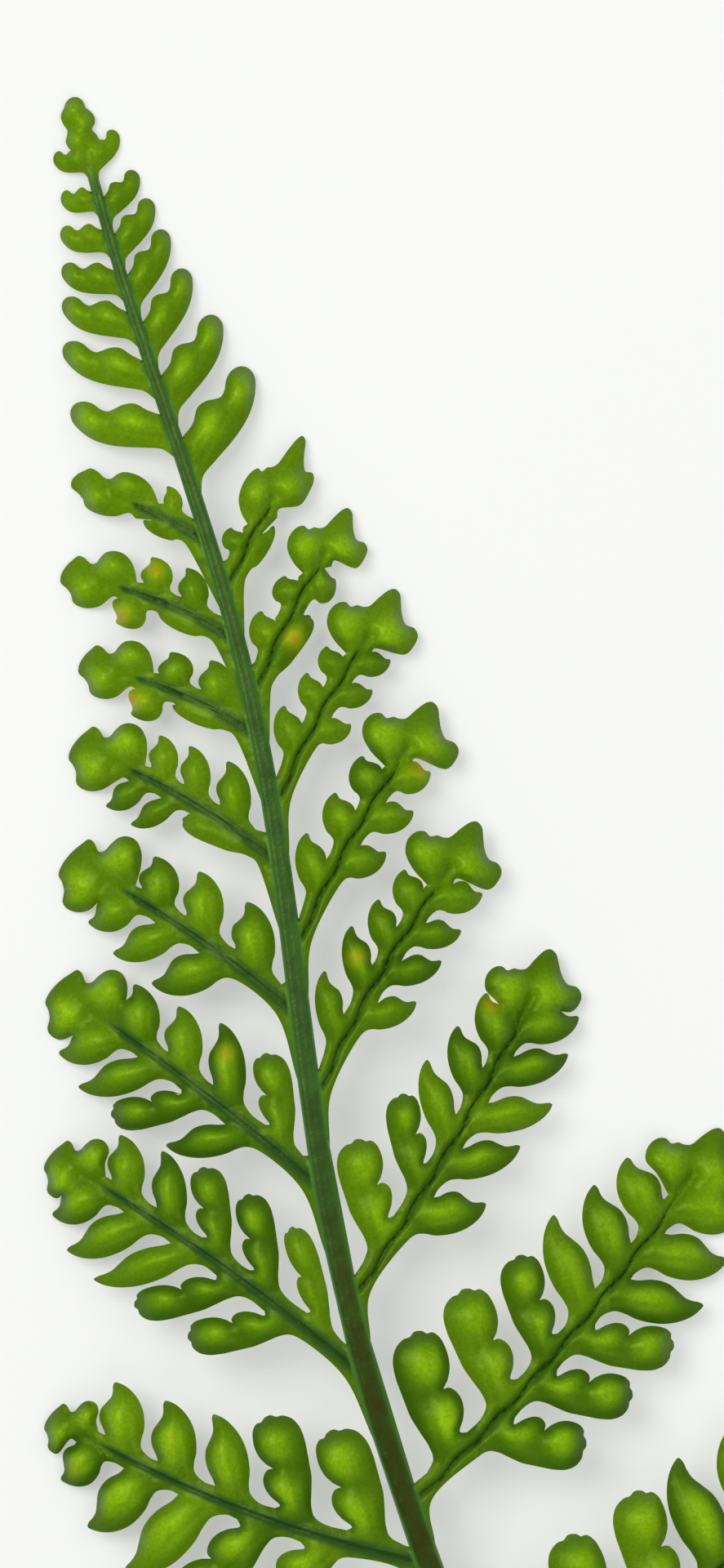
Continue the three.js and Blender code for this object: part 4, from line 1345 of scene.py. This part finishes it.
class FernColours(bpy.types.PropertyGroup):
    """The frond's colours."""

    blade_green: colour_of("Blade", "#4A7204", "Green of the blade between its domes")
    # Painted highlight on the lobes' domes
    dome_highlight_green: colour_of("Dome", "#88B20C", "Yellower green where a lobe bulges")
    young_green: colour_of("Young", "#749A06", "Brighter green of some lobes")
    # Painted shade in the valleys and vein folds, and the darker green of the skin's cells
    valley_shade_and_cells_green: colour_of("Valley", "#2A4A02", "Darker green in the valleys")
    rib_green: colour_of("Rib", "#1B4220", "Bluish green along a costa")
    # Painted shade in a costa's groove and along a rib's line
    groove_shade_green: colour_of("Groove", "#0F2E0C", "Dark green in a costa's groove")
    rachis_middle: colour_of("Rachis middle", "#1F3C1E", "Dark band along the rachis")
    rachis_edge: colour_of("Rachis edge", "#3E6A24", "Green of the rachis's edges")
    stalk_brown: colour_of("Stalk", "#262606", "Dark brown-green of the stalk")
    # Painted shade along the rim
    rim_shade_colour: colour_of("Margin", "#35432B", "Thin dark margin")
    tip_grey: colour_of("Tip", "#485A30", "Greyish horn tips")
    blotch_yellow: colour_of("Blotch", "#96A008", "Yellow of a fading lobe")
    blotch_orange: colour_of("Blotch middle", "#B0701A", "Rusty spot of a fading lobe")
    underside_green: colour_of("Underside", "#8AA367", "Paler green of the underside")
    case_brown: colour_of("Spore cases", "#7A4A22", "Brown of the spore cases")
    case_dark: colour_of("Spore cases, dark", "#4A2A14", "Dark brown among the spore cases")
    flap_pale: colour_of("Flap", "#C9BE94", "Papery flap over the spore cases")
    scale_brown: colour_of("Scales", "#8A5A2C", "Brown of the stalk's scales")
    scale_dark: colour_of("Scales, dark", "#54321A", "Dark grain of the stalk's scales")
    scale_pale: colour_of("Scales, edge", "#A98A5C", "Pale thin edge of the stalk's scales")
    panel_white: colour_of("Panel", "#B3B3B1", "The panel that the frond lies on")
    panel_cloud: colour_of("Panel, clouds", "#B0B1AF", "Faint clouds in the panel")


class FernBlade(bpy.types.PropertyGroup):
    """How far the blade's forms stand up."""

    pillow: length_of("Pillow", 0.32, "Rise of a lobe from its rim to its middle")
    dome: length_of("Dome", 1.05, "Rise of the bulge over a heap of spore cases")
    bank: length_of("Bank", 0.1, "Rise of the soft banks beside a grooved costa")
    groove: length_of("Groove", 0.26, "Depth of a costa's groove")
    rib: length_of("Rib", 0.2, "Rise of a rounded costa")
    under_rib: length_of("Rib below", 0.5, "How far a costa stands out below")
    vein: length_of("Vein", 0.06, "Depth of the fold over a lobe's vein")
    rachis_groove: length_of("Rachis groove", 0.14, "Depth of the groove along the rachis")


class FernSpores(bpy.types.PropertyGroup):
    """The heaps of spore cases."""

    across: length_of("Across", 1.6, "How wide one heap is with its flap")


class FernScales(bpy.types.PropertyGroup):
    """The papery scales at the foot of the stalk."""

    count: bpy.props.IntProperty(name="Count", default=30, min=1, description="Scales laid out")
    length: length_of("Length", 3.2, "How long a scale is")
    width: length_of("Width", 1.5, "How wide a scale is")
    thickness: length_of("Thickness", 0.06, "How thick a scale is")


class FernStage(bpy.types.PropertyGroup):
    """The view and the light."""

    lens: bpy.props.FloatProperty(name="Lens", default=200.0, min=50, unit="CAMERA",
                                  description="Focal length, long as in the photograph")
    distance: length_of("Distance", 746.7, "From the camera down to the blade")
    turn: bpy.props.FloatProperty(name="Turn", default=math.radians(13.49), unit="ROTATION",
                                  description="How far the picture's top leans from the frond")
    key: bpy.props.FloatProperty(name="Key light", default=5.3, min=0, unit="POWER",
                                 description="Power of the key light")
    fill: bpy.props.FloatProperty(name="Surrounding light", default=0.48, min=0,
                                  description="Strength of the light from all round")
    glow: bpy.props.FloatProperty(name="Panel glow", default=0.4, min=0,
                                  description="How brightly the panel is lit from below")


class FERN_OT_grow_blade(bpy.types.Operator):
    """Grow the blade, its costae, the rachis and the stalk as one piece"""

    bl_idname = "fern.grow_blade"
    bl_label = "Grow the blade"

    def execute(self, context):
        make_blade(context.scene.fern_colours, context.scene.fern_blade)
        return {"FINISHED"}


class FERN_OT_grow_spores(bpy.types.Operator):
    """Hang heaps of spore cases under the blade's domes"""

    bl_idname = "fern.grow_spores"
    bl_label = "Grow the spore cases"

    def execute(self, context):
        make_spores(context.scene.fern_colours, context.scene.fern_spores)
        return {"FINISHED"}


class FERN_OT_grow_scales(bpy.types.Operator):
    """Lay papery scales round the foot of the stalk"""

    bl_idname = "fern.grow_scales"
    bl_label = "Grow the scales"

    def execute(self, context):
        make_scales(context.scene.fern_colours, context.scene.fern_scales)
        return {"FINISHED"}


class FERN_OT_set_stage(bpy.types.Operator):
    """Lay the pale panel and set the camera and the soft light"""

    bl_idname = "fern.set_stage"
    bl_label = "Set the stage"

    def execute(self, context):
        stage = context.scene.fern_stage
        clear_selection()
        bpy.ops.mesh.primitive_plane_add(size=PANEL_SIZE, location=(0, 0, 0))
        floor = context.active_object
        floor.name = floor.data.name = "pale_panel"
        floor.data.materials.append(panel_material(context.scene.fern_colours, stage.glow))
        middle = Vector(CAMERA_AIM) * MM
        camera = bpy.data.cameras.new("camera")
        camera.lens, camera.sensor_fit = stage.lens, "VERTICAL"
        camera.sensor_width = camera.sensor_height = 36
        camera.clip_start, camera.clip_end = 0.01, 20
        seen = bpy.data.objects.new("camera", camera)
        context.scene.collection.objects.link(seen)
        seen.location = middle + Vector((0, 0, stage.distance))
        seen.rotation_euler = (0, 0, -stage.turn)
        context.scene.camera = seen
        for name, place, size, share, tint in LIGHTS:
            light = bpy.data.lights.new(name, "AREA")
            light.energy, light.size, light.color = stage.key * share, size, tint
            lamp = bpy.data.objects.new(name, light)
            context.scene.collection.objects.link(lamp)
            lamp.location = place
            lamp.rotation_euler = (middle - Vector(place)).to_track_quat("-Z", "Y").to_euler()
        world = bpy.data.worlds.new("surrounding_light")
        world.use_nodes = True
        glow = world.node_tree.nodes["Background"]
        glow.inputs["Color"].default_value = linear("#F4F6F7")
        glow.inputs["Strength"].default_value = stage.fill
        context.scene.world = world
        context.scene.view_settings.view_transform = "Standard"
        return {"FINISHED"}


class FERN_PT_panel(bpy.types.Panel):
    """Lists the frond's operators and settings"""

    bl_label = "Bear's foot fern"
    bl_idname = "FERN_PT_panel"
    bl_space_type = "VIEW_3D"
    bl_region_type = "UI"
    bl_category = "Fern"

    def draw(self, context):
        for name in GROUPS:
            box = self.layout.box()
            settings = getattr(context.scene, name)
            for setting in settings.__annotations__:
                box.prop(settings, setting)
        for operator in OPERATORS:
            self.layout.operator(operator.bl_idname)


GROUPS = {"fern_colours": FernColours, "fern_blade": FernBlade, "fern_spores": FernSpores,
          "fern_scales": FernScales, "fern_stage": FernStage}
OPERATORS = (FERN_OT_grow_blade, FERN_OT_grow_spores, FERN_OT_grow_scales, FERN_OT_set_stage)
CLASSES = (*GROUPS.values(), *OPERATORS, FERN_PT_panel)


def register():
    for item in CLASSES:
        bpy.utils.register_class(item)
    for name, group in GROUPS.items():
        setattr(bpy.types.Scene, name, bpy.props.PointerProperty(type=group))


def unregister():
    for name in GROUPS:
        delattr(bpy.types.Scene, name)
    for item in reversed(CLASSES):
        bpy.utils.unregister_class(item)


def main():
    register()
    bpy.ops.fern.grow_blade()
    bpy.ops.fern.grow_spores()
    bpy.ops.fern.grow_scales()
    bpy.ops.fern.set_stage()


if __name__ == "__main__":
    main()
